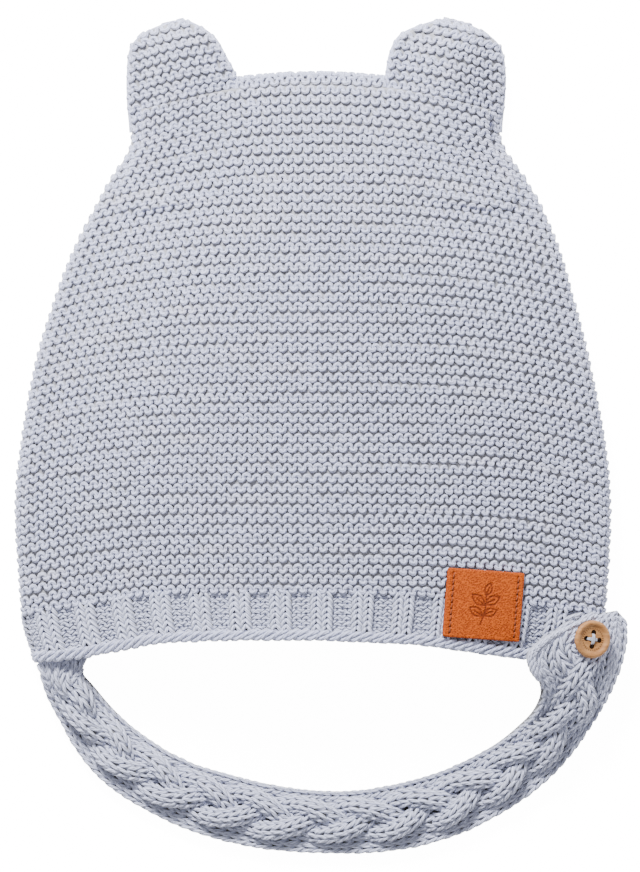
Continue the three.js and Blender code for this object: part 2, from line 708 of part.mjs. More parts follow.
function buttonThread() {
  const lift = BUTTON_THICK - BUTTON_DISH + GAP + THREAD_RADIUS;
  const reach = HOLES_OUT;
  const parts = [];
  for (const turn of [HOLES_TURN, HOLES_TURN + 90]) {
    const bar = Manifold.cylinder(2 * reach, THREAD_RADIUS, THREAD_RADIUS, 8)
      .translate([0, 0, -reach])
      .rotate([0, 90, 0])
      .rotate([0, 0, turn]);
    parts.push(bar.translate([0, 0, lift]));
  }
  for (let i = 0; i < 4; i++) {
    const a = holeAngle(i);
    const leg = Manifold.cylinder(lift - 0.05, THREAD_RADIUS, THREAD_RADIUS, 8);
    parts.push(leg.translate([reach * Math.cos(a), reach * Math.sin(a), 0.05]));
    const knee = Manifold.sphere(THREAD_RADIUS * 1.02, 8);
    parts.push(knee.translate([reach * Math.cos(a), reach * Math.sin(a), lift]));
  }
  return geometryOfSolid(Manifold.union(parts)).applyMatrix4(buttonFrame);
}

// Height of the front at a place seen from above.
function frontAt(x, y) {
  let up = y + ORIGIN_UP;
  for (let i = 0; i < 8; i++) up = y + ORIGIN_UP + sag(x, up);
  return frontHeight(x, up);
}

function label() {
  const [nx, ny] = [8, 5];
  const turn = (LABEL_TURN * Math.PI) / 180;
  const rings = [];
  for (let j = 0; j <= ny; j++) {
    const under = [];
    const over = [];
    for (let i = 0; i <= nx; i++) {
      const u = LABEL_WIDE * (i / nx - 0.5);
      const v = LABEL_TALL * (j / ny - 0.5);
      const x = half * LABEL_AT.across + u * Math.cos(turn) - v * Math.sin(turn);
      const y =
        CROWN_LENGTH * LABEL_AT.up - ORIGIN_UP + u * Math.sin(turn) + v * Math.cos(turn);
      const z = frontAt(x, y) + LABEL_CLEAR;
      under.push([x, y, z]);
      over.unshift([x, y, z + LABEL_THICK]);
    }
    rings.push([...under, ...over]);
  }
  return geometryOf(loft(rings));
}

// The whole hat

const COLOURS = {
  yarn: 0xc3c8d0,
  leather: 0xc8752f,
  wood: 0xc9a176,
  thread: 0xb9bdc6,
};

const root = new THREE.Group();

function add(name, geometry, colour, roughness) {
  const material = new THREE.MeshStandardMaterial({ color: COLOURS[colour], roughness });
  material.name = name + "_" + colour;
  const mesh = new THREE.Mesh(geometry, material);
  mesh.name = name;
  root.add(mesh);
}

add("crown", geometryOfSolid(crownSolid), "yarn", 0.95);
add("rib_band", ribBand(), "yarn", 0.95);
add("rim_edge", rimEdge(), "yarn", 0.95);
add("chin_strap", chinStrap(), "yarn", 0.95);
add("button", button(), "wood", 0.5);
add("button_thread", buttonThread(), "thread", 0.8);
add("label", label(), "leather", 0.6);

export default root;
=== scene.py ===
# %% [markdown]
# A knitted baby hat with two ears lies on its back on a table, its chin strap towards us. Knitting
# could be a pattern painted on a smooth shape, but then its edges would be smooth too and its
# shadows false. So here every visible stitch is a short tube of yarn, laid on the surface of the hat.
# The solids of the model give its shape and size, and the first step loads them.

# %%
# Load the frame
import json
import math
import bpy
import numpy as np
from mathutils import Matrix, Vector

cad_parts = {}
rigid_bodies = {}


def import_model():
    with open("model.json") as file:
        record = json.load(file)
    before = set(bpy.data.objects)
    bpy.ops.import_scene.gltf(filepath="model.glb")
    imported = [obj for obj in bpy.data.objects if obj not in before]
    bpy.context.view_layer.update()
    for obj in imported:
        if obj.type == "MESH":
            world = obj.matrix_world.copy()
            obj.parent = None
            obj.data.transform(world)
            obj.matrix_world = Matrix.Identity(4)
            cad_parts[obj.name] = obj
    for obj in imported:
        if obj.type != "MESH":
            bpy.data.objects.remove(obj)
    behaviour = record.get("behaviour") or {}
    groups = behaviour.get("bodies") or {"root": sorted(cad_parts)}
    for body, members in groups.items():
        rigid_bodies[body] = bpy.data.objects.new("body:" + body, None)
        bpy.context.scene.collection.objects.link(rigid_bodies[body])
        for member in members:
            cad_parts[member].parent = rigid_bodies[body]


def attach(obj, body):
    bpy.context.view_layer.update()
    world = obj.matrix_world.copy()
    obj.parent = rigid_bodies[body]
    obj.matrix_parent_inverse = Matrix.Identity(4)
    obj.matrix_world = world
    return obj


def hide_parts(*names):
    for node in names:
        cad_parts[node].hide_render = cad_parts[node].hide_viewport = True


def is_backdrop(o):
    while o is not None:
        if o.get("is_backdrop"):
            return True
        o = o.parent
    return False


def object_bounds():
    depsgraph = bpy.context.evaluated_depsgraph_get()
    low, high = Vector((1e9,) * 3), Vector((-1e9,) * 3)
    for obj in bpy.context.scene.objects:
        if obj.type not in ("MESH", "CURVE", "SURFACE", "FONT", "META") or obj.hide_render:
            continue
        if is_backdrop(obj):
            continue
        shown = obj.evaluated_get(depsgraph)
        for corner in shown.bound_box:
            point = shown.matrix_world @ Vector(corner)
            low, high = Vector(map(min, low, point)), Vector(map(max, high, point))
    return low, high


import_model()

size_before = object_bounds()
rng = np.random.default_rng(11)
print("solids from", [round(v, 4) for v in size_before[0]], "to", [round(v, 4) for v in size_before[1]])

# %% [markdown]
# The shape of the hat could be read off the solids, but their facets are coarser than a stitch.
# So the same sizes and short tables are used again, and each level of the bag is worked out as a
# smooth ring: a dome in front, a soft fold at each side and a flat back. All lengths are in mm.

# %%
# Sizes and levels of the bag
HALF = 98.3  # half the width of the hat, fold to fold
CROWN_LENGTH = 187.2  # rim to top seam at the middle
ORIGIN_UP = 90.0  # the origin is this far up from the rim
SIDE_FOLD, TOP_FOLD = 6.5, 3.6
PUFF, DOME_POWER = 26.0, 1.3
RIM_SAG, TOP_SAG, RIM_DROOP = 7.9, 10.0, 60.0
EAR_BASE, EAR_LENGTH, EAR_FOLD, EAR_PUFF = 160.0, 49.7, 4.0, 7.0
EAR_RISE_FROM, EAR_RISE_RUN = 145.0, 30.0  # where the puff of an ear starts in the crown's front
BAND_DEPTH, RIM_CORD = 15.5, 3.3
STITCH, RIDGE = 3.3, 3.28  # width of a stitch, height of a garter ridge
YARN = 0.7  # radius of the yarn

# up, left, right, puff, fold: the same shares as in the part's own table
LEVELS = np.array([
    (0.0, 0.93, 0.93, 0.98, 1), (0.07, 0.972, 0.972, 1, 1), (0.17, 0.99, 0.992, 1.03, 1),
    (0.29, 1.0, 0.998, 1.03, 1), (0.38, 0.984, 0.985, 1, 1), (0.468, 0.958, 0.956, 0.97, 1),
    (0.557, 0.922, 0.921, 0.91, 0.98), (0.646, 0.87, 0.878, 0.82, 0.95),
    (0.735, 0.807, 0.83, 0.68, 0.9), (0.823, 0.723, 0.76, 0.48, 0.82),
    (0.868, 0.676, 0.709, 0.37, 0.76), (0.912, 0.622, 0.65, 0.26, 0.68),
    (0.945, 0.612, 0.63, 0.17, 0.63), (0.981, 0.617, 0.635, 0.05, 0.6),
    (1.0, 0.617, 0.635, 0, 0.6)])
# up, outer, inner, puff of each ear
EARS = {
    -1: np.array([
        (0.0, 0.62, 0.22, 0.9), (0.27, 0.616, 0.235, 0.95), (0.38, 0.617, 0.242, 1),
        (0.55, 0.625, 0.253, 1), (0.69, 0.626, 0.288, 0.95), (0.81, 0.624, 0.318, 0.8),
        (0.87, 0.62, 0.342, 0.6), (0.935, 0.606, 0.382, 0.3), (0.975, 0.575, 0.415, 0.1),
        (1.0, 0.51, 0.43, 0)]),
    1: np.array([
        (0.0, 0.64, 0.2, 0.9), (0.27, 0.634, 0.215, 0.95), (0.38, 0.635, 0.225, 1),
        (0.55, 0.644, 0.24, 1), (0.69, 0.647, 0.252, 0.95), (0.81, 0.644, 0.278, 0.8),
        (0.87, 0.637, 0.31, 0.6), (0.935, 0.622, 0.374, 0.3), (0.975, 0.578, 0.412, 0.1),
        (1.0, 0.53, 0.44, 0)]),
}
# out, low: the droop of the rim from fold to fold
RIM_DROOPS = np.array([
    (-1.03, 1.04), (-0.86, 0.87), (-0.72, 0.58), (-0.57, 0.22), (-0.4, 0.07), (-0.2, 0.01), (0, 0),
    (0.2, 0.1), (0.36, 0.21), (0.5, 0.44), (0.65, 0.7), (0.8, 0.92), (1.03, 1.1)])
print("levels", len(LEVELS), "widest", 2 * HALF, "mm")


# %%
# Smooth curves through the tables
def smooth(table, column, t):
    """A column of a table at t, as a smooth curve through its rows."""
    xs, ys = table[:, 0], table[:, column]
    slope = np.empty(len(xs))
    slope[1:-1] = (ys[2:] - ys[:-2]) / (xs[2:] - xs[:-2])
    slope[0] = (ys[1] - ys[0]) / (xs[1] - xs[0])
    slope[-1] = (ys[-1] - ys[-2]) / (xs[-1] - xs[-2])
    t = np.clip(t, xs[0], xs[-1])
    i = np.clip(np.searchsorted(xs, t, side="right") - 1, 0, len(xs) - 2)
    span = xs[i + 1] - xs[i]
    k = (t - xs[i]) / span
    return ((2 * k**3 - 3 * k**2 + 1) * ys[i] + (k**3 - 2 * k**2 + k) * slope[i] * span
            + (3 * k**2 - 2 * k**3) * ys[i + 1] + (k**3 - k**2) * slope[i + 1] * span)


def crown_level(up):
    """Middle, half width, fold radius and rise of the front at a level."""
    t = np.clip(np.asarray(up, float) / CROWN_LENGTH, 0, 1)
    left, right = -HALF * smooth(LEVELS, 1, t), HALF * smooth(LEVELS, 2, t)
    return ((left + right) / 2, (right - left) / 2, SIDE_FOLD * smooth(LEVELS, 4, t),
            PUFF * np.maximum(smooth(LEVELS, 3, t), 0))


def ear_level(side, up):
    """Middle, half width and rise of the front of an ear at a level."""
    t = np.clip((np.asarray(up, float) - EAR_BASE) / EAR_LENGTH, 0, 1)
    outer, inner = side * HALF * smooth(EARS[side], 1, t), side * HALF * smooth(EARS[side], 2, t)
    return (outer + inner) / 2, abs(outer - inner) / 2, EAR_PUFF * np.maximum(smooth(EARS[side], 3, t), 0)


print("half width at the rim", round(float(crown_level(0)[1]), 1), "mm")


# %%
# The droop of the rows and the rise of the front
def sag(x, up):
    """A row's ends lie lower than its middle."""
    t = np.clip(np.asarray(up, float) / CROWN_LENGTH, 0, 1)
    middle, width, _, _ = crown_level(up)
    out = np.clip((x - middle) / width, -1.03, 1.03)
    even = (RIM_SAG + (TOP_SAG - RIM_SAG) * t) * abs(out) ** (5 - 3 * t)
    near = np.maximum(1 - np.maximum(up, 0) / RIM_DROOP, 0) ** 2
    return even + (RIM_SAG * smooth(RIM_DROOPS, 1, out) - even) * near


def to_y(x, up):
    return up - sag(x, up) - ORIGIN_UP


def dome(out):
    return np.maximum(1 - out**2, 0) ** DOME_POWER


def front_height(x, up):
    """Height of the front above the table."""
    middle, width, fold, puff = crown_level(up)
    flat = width - fold
    out = abs(x - middle)
    on_fold = fold + np.sqrt(np.maximum(fold**2 - (out - flat) ** 2, 0))
    height = np.where(out < flat, 2 * fold + puff * dome(np.minimum(out / flat, 1)), on_fold)
    for side in EARS:
        ear, ear_width, ear_puff = ear_level(side, up)
        near = np.clip((up - EAR_RISE_FROM) / EAR_RISE_RUN, 0, 1)
        own = ear_puff * dome(np.minimum(abs(x - ear) / (ear_width + EAR_FOLD), 1))
        own = own * near * near * (3 - 2 * near)
        rise = np.hypot(puff * dome(np.minimum(out / width, 1)), own) * 0.98
        root = 2 * np.maximum(fold, TOP_FOLD) + rise
        height = np.where((own > 0.01) & (out < flat), np.maximum(height, root), height)
    return height


print("front rises to", round(float(front_height(0.0, 0.2 * CROWN_LENGTH)), 1), "mm")

# %% [markdown]
# A skin is one closed bag surface. It is sampled on a grid: m runs up the knitting and a runs
# round it, both in mm of fabric, so a stitch keeps its size where the surface bends. The crown is
# one skin and each ear is a smaller one, closed over its top by a rounded edge.


# %%
# Skins: the surfaces that stitches are laid on
class Skin:
    STEPS = 480

    def __init__(self, levels, ring):
        self.m = levels
        points, lengths, marks = [], [], []
        for m in levels:
            ring_points, mark = ring(m)
            step = np.r_[0, np.cumsum(np.linalg.norm(np.diff(ring_points, axis=0), axis=1))]
            want = np.linspace(0, step[-1], self.STEPS, endpoint=False)
            points.append(np.column_stack([np.interp(want, step, ring_points[:, k]) for k in range(3)]))
            lengths.append(step[-1])
            marks.append([step[i] for i in mark])
        self.points = np.array(points)
        self.length = np.array(lengths)
        self.marks = np.array(marks)  # right fold, middle of the back, left fold
        across = np.roll(self.points, -1, 1) - np.roll(self.points, 1, 1)
        along = np.gradient(self.points, axis=0)
        normal = np.cross(across, along)
        self.normals = normal / np.maximum(np.linalg.norm(normal, axis=2, keepdims=True), 1e-9)

    def round(self, m):
        """The way round at level m."""
        return np.interp(m, self.m, self.length)

    def mark(self, m):
        return [np.interp(m, self.m, self.marks[:, k]) for k in range(3)]

    def at(self, m, a, lift=0.0, share=0.0):
        """Points lift mm out from the surface at level m, a mm on from a share of the way round."""
        m, a, share = np.broadcast_arrays(np.asarray(m, float), a, share)
        step = self.m[1] - self.m[0]
        f = np.clip((m - self.m[0]) / step, 0, len(self.m) - 1.001)
        i = f.astype(int)
        f = (f - i)[..., None]
        q = (a / self.round(m) + share) % 1 * self.STEPS
        j = q.astype(int) % self.STEPS
        g = (q - np.floor(q))[..., None]
        k = (j + 1) % self.STEPS

        def mix(grid):
            return ((grid[i, j] * (1 - g) + grid[i, k] * g) * (1 - f)
                    + (grid[i + 1, j] * (1 - g) + grid[i + 1, k] * g) * f)

        normal = mix(self.normals)
        normal = normal / np.maximum(np.linalg.norm(normal, axis=-1, keepdims=True), 1e-9)
        return mix(self.points) + normal * np.asarray(lift, float)[..., None], normal


# %%
# The rings of the crown and the ears
FRONT_POINTS, FOLD_POINTS, BACK_POINTS = 140, 50, 161


def outline(middle, flat, r, centre, front):
    """Ring of x and z from the front's middle to the right and round, and its three marks."""
    out = np.sin(np.linspace(0, math.pi / 2, FRONT_POINTS)) * flat
    turn = np.linspace(math.pi / 2, -math.pi / 2, FOLD_POINTS)
    back = np.linspace(flat, -flat, BACK_POINTS)
    x = np.r_[middle + out, middle + flat + r * np.cos(turn), middle + back,
              middle - flat - r * np.cos(turn), middle - out[::-1]]
    z = np.r_[front(middle + out), centre + r * np.sin(turn), np.full(BACK_POINTS, centre - r),
              centre - r * np.sin(turn), front(middle - out[::-1])]
    to_back = FRONT_POINTS + FOLD_POINTS
    return x, z, (FRONT_POINTS + FOLD_POINTS // 2, to_back + BACK_POINTS // 2,
                  to_back + BACK_POINTS + FOLD_POINTS // 2)


def closing(m, top, r):
    """Level and radius near a rounded top edge, m mm up the fabric."""
    if m <= top - r:
        return m, r
    turn = min((m - top + r) / r, math.pi / 2 - 0.06)
    return top - r + r * math.sin(turn), r * math.cos(turn)


def crown_ring(m):
    up, closed = closing(m, CROWN_LENGTH, TOP_FOLD)
    middle, width, fold, puff = (float(v) for v in crown_level(up))
    centre = max(fold, TOP_FOLD)
    r = fold if m <= CROWN_LENGTH - TOP_FOLD else min(fold, closed)
    x, z, marks = outline(middle, width - fold, r, centre,
                          lambda x: front_height(x, up) + centre + r - 2 * fold)
    if closed < TOP_FOLD:
        z = np.minimum(z, centre + r)
    return np.column_stack([x, to_y(x, up), z]), marks


def ear_ring(side):
    def ring(m):
        up, r = closing(m, EAR_BASE + EAR_LENGTH, EAR_FOLD)
        middle, width, puff = (float(v) for v in ear_level(side, up))
        flat = max(width - r, 1.0)
        x, z, marks = outline(
            middle, flat, r, EAR_FOLD,
            lambda x: EAR_FOLD + r + puff * dome(np.minimum(abs(x - middle) / flat, 1)))
        return np.column_stack([x, to_y(x, up), z]), marks
    return ring


EAR_SKIN_FROM = 176.0
crown = Skin(np.arange(0.0, CROWN_LENGTH - TOP_FOLD + 6.3, 1.0), crown_ring)
ear_ms = np.arange(EAR_SKIN_FROM, EAR_BASE + EAR_LENGTH - EAR_FOLD + 6.6, 1.0)
ears = {side: Skin(ear_ms, ear_ring(side)) for side in EARS}
print("rim", round(float(crown.length[0])), "mm round, widest", round(float(crown.length.max())), "mm round")

# %% [markdown]
# Yarn is a tube with a twist. Curves with a bevel would do for a few strands, but there are many
# thousands here, so the tubes are made in one go with arrays. Each keeps its twist angle and its
# length as an attribute of the mesh, and the yarn material draws the plies winding along it.


# %%
# Tubes of yarn
def grid_faces(rows, columns, closed):
    """Faces of four corners over a grid of points, closed round its columns or not."""
    j, k = np.meshgrid(np.arange(rows - 1), np.arange(columns if closed else columns - 1), indexing="ij")
    a = j * columns + k
    b = j * columns + (k + 1) % columns
    return np.stack([a, b, b + columns, a + columns], axis=-1).reshape(-1, 4)


def tubes(paths, hints, radius, sides, shade=None):
    """Points, faces and attributes of one tube for each path. hints are directions off the surface."""
    paths = np.asarray(paths, float)
    n, count, _ = paths.shape
    radius = np.broadcast_to(np.asarray(radius, float), (n, count))
    tangent = np.gradient(paths, axis=1)
    tangent /= np.maximum(np.linalg.norm(tangent, axis=2, keepdims=True), 1e-9)
    side = np.cross(tangent, np.broadcast_to(hints, paths.shape))
    side /= np.maximum(np.linalg.norm(side, axis=2, keepdims=True), 1e-9)
    up = np.cross(side, tangent)
    angle = 2 * math.pi * (np.arange(sides) + 0.5) / sides
    cos, sin = np.cos(angle), np.sin(angle)
    ring = up[:, :, None, :] * cos[None, None, :, None] + side[:, :, None, :] * sin[None, None, :, None]
    points = paths[:, :, None, :] + ring * radius[:, :, None, None]
    run = np.cumsum(np.linalg.norm(np.diff(paths, axis=1), axis=2), axis=1)
    along = np.concatenate([np.zeros((n, 1)), run], axis=1) + rng.uniform(0, 40, (n, 1))
    twist = np.empty((n, count, sides, 3))
    twist[..., 0], twist[..., 1], twist[..., 2] = cos, sin, along[:, :, None]
    tone = rng.uniform(0.1, 0.6, n) if shade is None else shade
    shade = np.broadcast_to(tone[:, None, None], (n, count, sides))
    faces = grid_faces(count, sides, True)[None] + (np.arange(n) * count * sides)[:, None, None]
    return points.reshape(-1, 3), faces.reshape(-1, 4), twist.reshape(-1, 3), shade.reshape(-1)


def plain(points, faces, shade=0.5):
    """A surface with no yarn twist."""
    points = np.asarray(points).reshape(-1, 3)
    return points, faces, np.tile([1.0, 0.0, 0.0], (len(points), 1)), np.full(len(points), shade)


def merge(parts):
    """Several results of tubes or plain as one."""
    start = np.cumsum([0] + [len(p[0]) for p in parts[:-1]])
    faces = np.concatenate([p[1] + s for p, s in zip(parts, start)])
    points, twist, shade = (np.concatenate([p[k] for p in parts]) for k in (0, 2, 3))
    return points, faces, twist, shade


print("the yarn is", 2 * YARN, "mm thick")


# %%
# Meshes that hold the yarn
triangles = {}


def piece(name, made, material, node):
    """A mesh object from points in mm and faces of four corners, riding with the hat."""
    points, faces, twist, shade = made
    points = points * 0.001
    points[:, 2] = np.maximum(points[:, 2], 0.0)  # the table presses the lowest yarn flat
    mesh = bpy.data.meshes.new(name)
    mesh.vertices.add(len(points))
    mesh.vertices.foreach_set("co", points.astype(np.float32).ravel())
    mesh.loops.add(faces.size)
    mesh.loops.foreach_set("vertex_index", faces.astype(np.int32).ravel())
    mesh.polygons.add(len(faces))
    mesh.polygons.foreach_set("loop_start", np.arange(0, faces.size, 4, dtype=np.int32))
    mesh.polygons.foreach_set("use_smooth", np.full(len(faces), True))
    mesh.update(calc_edges=True)
    mesh.validate()
    spun = mesh.attributes.new("twist", "FLOAT_VECTOR", "POINT")
    spun.data.foreach_set("vector", twist.astype(np.float32).ravel())
    tone = mesh.attributes.new("shade", "FLOAT", "POINT")
    tone.data.foreach_set("value", shade.astype(np.float32))
    mesh.materials.append(material)
    obj = bpy.data.objects.new(name, mesh)
    bpy.context.scene.collection.objects.link(obj)
    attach(obj, "root")
    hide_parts(node)
    triangles[name] = 2 * len(faces)
    return obj


# %% [markdown]
# A finish is a principled shader with a few nodes in front of it. Most of them here are built from
# the same handful: sums, noise, a ramp between two colours, a mix and a bump. These could be joined
# by hand each time, but short names for them keep each finish readable as a recipe.


# %%
# Short ways to build a material
class Finish:
    def __init__(self, name):
        self.material = bpy.data.materials.new(name)
        self.material.use_nodes = True
        self.nodes, self.links = self.material.node_tree.nodes, self.material.node_tree.links
        self.nodes.clear()
        out = self.nodes.new("ShaderNodeOutputMaterial")
        self.shader = self.nodes.new("ShaderNodeBsdfPrincipled")
        self.links.new(self.shader.outputs[0], out.inputs[0])

    def reckon(self, kind, *values):
        """A sum over numbers and outputs of other nodes."""
        node = self.nodes.new("ShaderNodeMath")
        node.operation = kind
        for i, value in enumerate(values):
            if isinstance(value, (int, float)):
                node.inputs[i].default_value = value
            else:
                self.links.new(value, node.inputs[i])
        return node.outputs[0]

    def attribute(self, name):
        node = self.nodes.new("ShaderNodeAttribute")
        node.attribute_name = name
        return node.outputs

    def parts(self, name):
        """The three numbers of an attribute."""
        node = self.nodes.new("ShaderNodeSeparateXYZ")
        self.links.new(self.attribute(name)["Vector"], node.inputs[0])
        return node.outputs[0], node.outputs[1], node.outputs[2]

    def position(self):
        return self.nodes.new("ShaderNodeNewGeometry").outputs["Position"]

    def noise(self, scale, detail, place, roughness=0.5):
        node = self.nodes.new("ShaderNodeTexNoise")
        node.inputs["Scale"].default_value = scale
        node.inputs["Detail"].default_value = detail
        node.inputs["Roughness"].default_value = roughness
        self.links.new(place, node.inputs["Vector"])
        return node.outputs["Fac"]

    def ramp(self, value, *stops):
        """A colour between two stops, each a place and its colour."""
        node = self.nodes.new("ShaderNodeValToRGB")
        for element, (place, colour) in zip(node.color_ramp.elements, stops):
            element.position = place
            element.color = (*colour, 1)
        self.links.new(value, node.inputs[0])
        return node.outputs[0]

    def mix(self, share, colour, other):
        """A colour that goes over into another, plain one by a share."""
        node = self.nodes.new("ShaderNodeMix")
        node.data_type = "RGBA"
        self.links.new(share, node.inputs["Factor"])
        self.links.new(colour, node.inputs["A"])
        node.inputs["B"].default_value = (*other, 1)
        return node.outputs["Result"]

    def paint(self, colour):
        self.links.new(colour, self.shader.inputs["Base Color"])

    def relief(self, height, strength, distance):
        node = self.nodes.new("ShaderNodeBump")
        node.inputs["Strength"].default_value = strength
        node.inputs["Distance"].default_value = distance
        self.links.new(height, node.inputs["Height"])
        self.links.new(node.outputs[0], self.shader.inputs["Normal"])

    def gloss(self, roughness, specular):
        self.shader.inputs["Roughness"].default_value = roughness
        self.shader.inputs["Specular IOR Level"].default_value = specular


# %% [markdown]
# The yarn is pale blue-grey cotton with a few warm and cool fibres spun in. Its material draws
# four plies winding round, painted darker between them as shade, finer fibres across them, and a
# soft bright fuzz where it is seen edge-on. The underside of a strand is painted darker, as
# shade, since little light gets between the stitches. The ground under the stitches is the same
# yarn, painted in shade.


# %%
# Yarn materials
def yarn_material(name, light, dark, warm, plies=4, lay=9.2, bump=0.22, low=None):
    """Spun yarn whose plies wind round once in lay mm, with low as the painted shade of its underside."""
    yarn = Finish(name)
    cos, sin, along = yarn.parts("twist")
    angle = yarn.reckon("ARCTAN2", sin, cos)
    wound = yarn.reckon("MULTIPLY", along, 2 * math.pi * plies / lay)
    phase = yarn.reckon("MULTIPLY_ADD", angle, plies, wound)
    ply = yarn.reckon("ABSOLUTE", yarn.reckon("SINE", yarn.reckon("MULTIPLY", phase, 0.5)))
    wound = yarn.reckon("MULTIPLY", along, 2 * math.pi * plies * 4 / (lay * 1.7))
    fibre = yarn.reckon("SINE", yarn.reckon("MULTIPLY_ADD", angle, plies * 4, wound))
    place = yarn.position()
    fuzz, blotch = yarn.noise(900, 4, place), yarn.noise(130, 2, place)
    # the ramp is darker between the plies as painted shade; the fuzz noise gives the fibres' own flecks
    strands = yarn.reckon("ADD", yarn.reckon("MULTIPLY", fuzz, 0.62), yarn.reckon("MULTIPLY", ply, 0.38))
    warmth = yarn.reckon("POWER", yarn.attribute("shade")["Fac"], 3.0)
    warmth = yarn.reckon("MULTIPLY", warmth, yarn.reckon("MULTIPLY", blotch, 0.6))
    colour = yarn.mix(warmth, yarn.ramp(strands, (0.25, dark), (0.75, light)), warm)
    # painted shade: where a tube faces the surface, its colour goes over into low
    if low is not None:
        colour = yarn.mix(yarn.reckon("MULTIPLY_ADD", cos, -0.75, 0.55), colour, low)
    yarn.paint(colour)
    height = yarn.reckon("MULTIPLY_ADD", fibre, 0.12, yarn.reckon("MULTIPLY_ADD", fuzz, 0.5, ply))
    yarn.relief(height, 0.8, bump * 0.001)
    yarn.gloss(0.9, 0.15)
    yarn.shader.inputs["Sheen Weight"].default_value = 0.35
    yarn.shader.inputs["Sheen Roughness"].default_value = 0.5
    return yarn.material


YARN_WARM = (0.74, 0.7, 0.78)
# low is painted shade on the underside of each strand
knit = yarn_material("knit_yarn", (0.635, 0.675, 0.94), (0.345, 0.36, 0.5), YARN_WARM, low=(0.5, 0.5, 0.52))
# the rope's low is a deeper painted shade, between the strands of the plait
rope = yarn_material("rope_yarn", (0.71, 0.75, 0.99), (0.38, 0.395, 0.53), YARN_WARM, bump=0.28,
                     low=(0.22, 0.22, 0.235))
# the grounds are the yarn painted darker, as shade under the stitches; shaded_ground is deeper still
ground = yarn_material("knit_ground_in_shade", (0.48, 0.48, 0.52), (0.34, 0.34, 0.38), (0.46, 0.45, 0.46), bump=0.3)
shade_ground = yarn_material("shaded_ground", (0.22, 0.22, 0.235), (0.14, 0.14, 0.155), (0.2, 0.2, 0.2),
                             bump=0.3)
print("yarn materials", [m.name for m in (knit, rope, ground, shade_ground)])

# %% [markdown]
# Garter stitch shows ridge after ridge. In each ridge the yarn winds up and down as one meander:
# the tops of the loops bend over like small arches, and the links between them hang like small
# cups, half a stitch along. Every arch and every cup is its own short tube, and its ends meet its
# neighbours' ends halfway up. The front gets finer tubes than the back, which lies on the table.

# %%
# Where the stitches of a row go
ARCH = np.array([  # t across and u up, in shares of a stitch and a ridge, and height in mm
    (-0.26, -0.09, -1.1), (-0.265, 0.08, -0.72), (-0.175, 0.25, -0.5), (0.0, 0.305, -0.42),
    (0.175, 0.25, -0.5), (0.265, 0.08, -0.72), (0.26, -0.09, -1.1)])
PLAIN_ARCH = ARCH[[0, 2, 4, 6]] * [1.15, 1, 1]
print("an arch of", len(ARCH), "points in front and", len(PLAIN_ARCH), "at the back")


def stitch_places(skin, rows, face):
    """Level, place, width, arch or cup, and starting share of each stitch in the rows of one face."""
    places = []
    for m in rows:
        right, back, left = skin.mark(m)
        whole = skin.round(m)
        ends, share = ((right, left - whole), 0.0) if face == "front" else (
            (right - back, left - back), back / whole)
        for end in ends:
            n = max(int(round(abs(end) / STITCH)), 1)
            step = end / n
            for i in range(n):
                places.append((m, (i + 0.5) * step, abs(step), 1, share))
                places.append((m, i * step, abs(step), -1, share))
    return np.array(places, float).T


def heather(m, a):
    """A tone for each stitch that drifts along its row, as the fibres in the yarn do."""
    row = np.round(m / RIDGE).astype(int)
    knots = rng.uniform(0, 1, (row.max() + 1, 64)) ** 1.6
    place = (a / 9.0) % 63
    i = place.astype(int)
    f = place - i
    return knots[row, i] * (1 - f) + knots[row, i + 1] * f


def arches(skin, rows, keep=None, shape=ARCH, sides=6, face="front"):
    """Tubes for the arches and cups of many rows of a skin."""
    m0, a0, wide, flip, share = stitch_places(skin, rows, face)
    n = len(m0)
    tone = heather(m0, a0)
    drift = 0.12 * np.sin(a0 / 23.0 + m0 * 1.7) + 0.1 * np.sin(a0 / 9.1 + m0 * 2.9)
    m0 = m0 + drift + rng.normal(0, 0.08, n)
    a0 = a0 + rng.normal(0, 0.09, n)
    grow = 1 + rng.normal(0, 0.06, n)
    lean = rng.normal(0, 0.11, n)
    t = a0[:, None] + shape[None, :, 0] * (wide * grow)[:, None]
    u = m0[:, None] + (shape[None, :, 1] * flip[:, None] + shape[None, :, 0] * lean[:, None]) * RIDGE
    h = shape[None, :, 2] + rng.normal(0, 0.07, (n, 1))
    points, normals = skin.at(u, t, h, share[:, None])
    if keep is not None:
        good = keep(points[:, len(shape) // 2], m0)
        points, normals, tone = points[good], normals[good], tone[good]
    return tubes(points, normals, YARN * (1 + rng.normal(0, 0.04, (len(points), 1))), sides, tone)


# %%
# Garter stitch on the front
FIRST_ROW, TOP_ROW = BAND_DEPTH + 1.75, CROWN_LENGTH + 0.5
EAR_FROM, EAR_TOP_ROW = CROWN_LENGTH - TOP_FOLD - 0.6, EAR_BASE + EAR_LENGTH + 1.6


def ridges(first, last):
    return np.linspace(first, last, 1 + int(round((last - first) / RIDGE)))


crown_rows = ridges(FIRST_ROW, TOP_ROW)
ear_rows = ridges(crown_rows[crown_rows < EAR_FROM][-1] + RIDGE, EAR_TOP_ROW)


def between_ears(points, m):
    """Above the ears' roots the crown's own rows are left only between the ears."""
    return (m < EAR_FROM) | ((points[:, 0] > -HALF * 0.262) & (points[:, 0] < HALF * 0.247))


third = len(crown_rows) // 3
zones = {"low": crown_rows[:third], "middle": crown_rows[third:2 * third], "high": crown_rows[2 * third:]}
for name, rows in zones.items():
    piece("crown_front_" + name, arches(crown, rows, between_ears), knit, "crown")
for side, name in ((-1, "left"), (1, "right")):
    piece("ear_front_" + name, arches(ears[side], ear_rows), knit, "crown")
print(len(crown_rows), "ridges on the crown,", len(ear_rows), "on each ear")

# %% [markdown]
# Front and back meet in folds. Rows of stitches end there, so three plain strands run along the
# fold of each ear, and short slanting stitches close the top of the crown between them. The rows
# could run on round the folds, but a real seam also shows such strands, and they hide the ends.


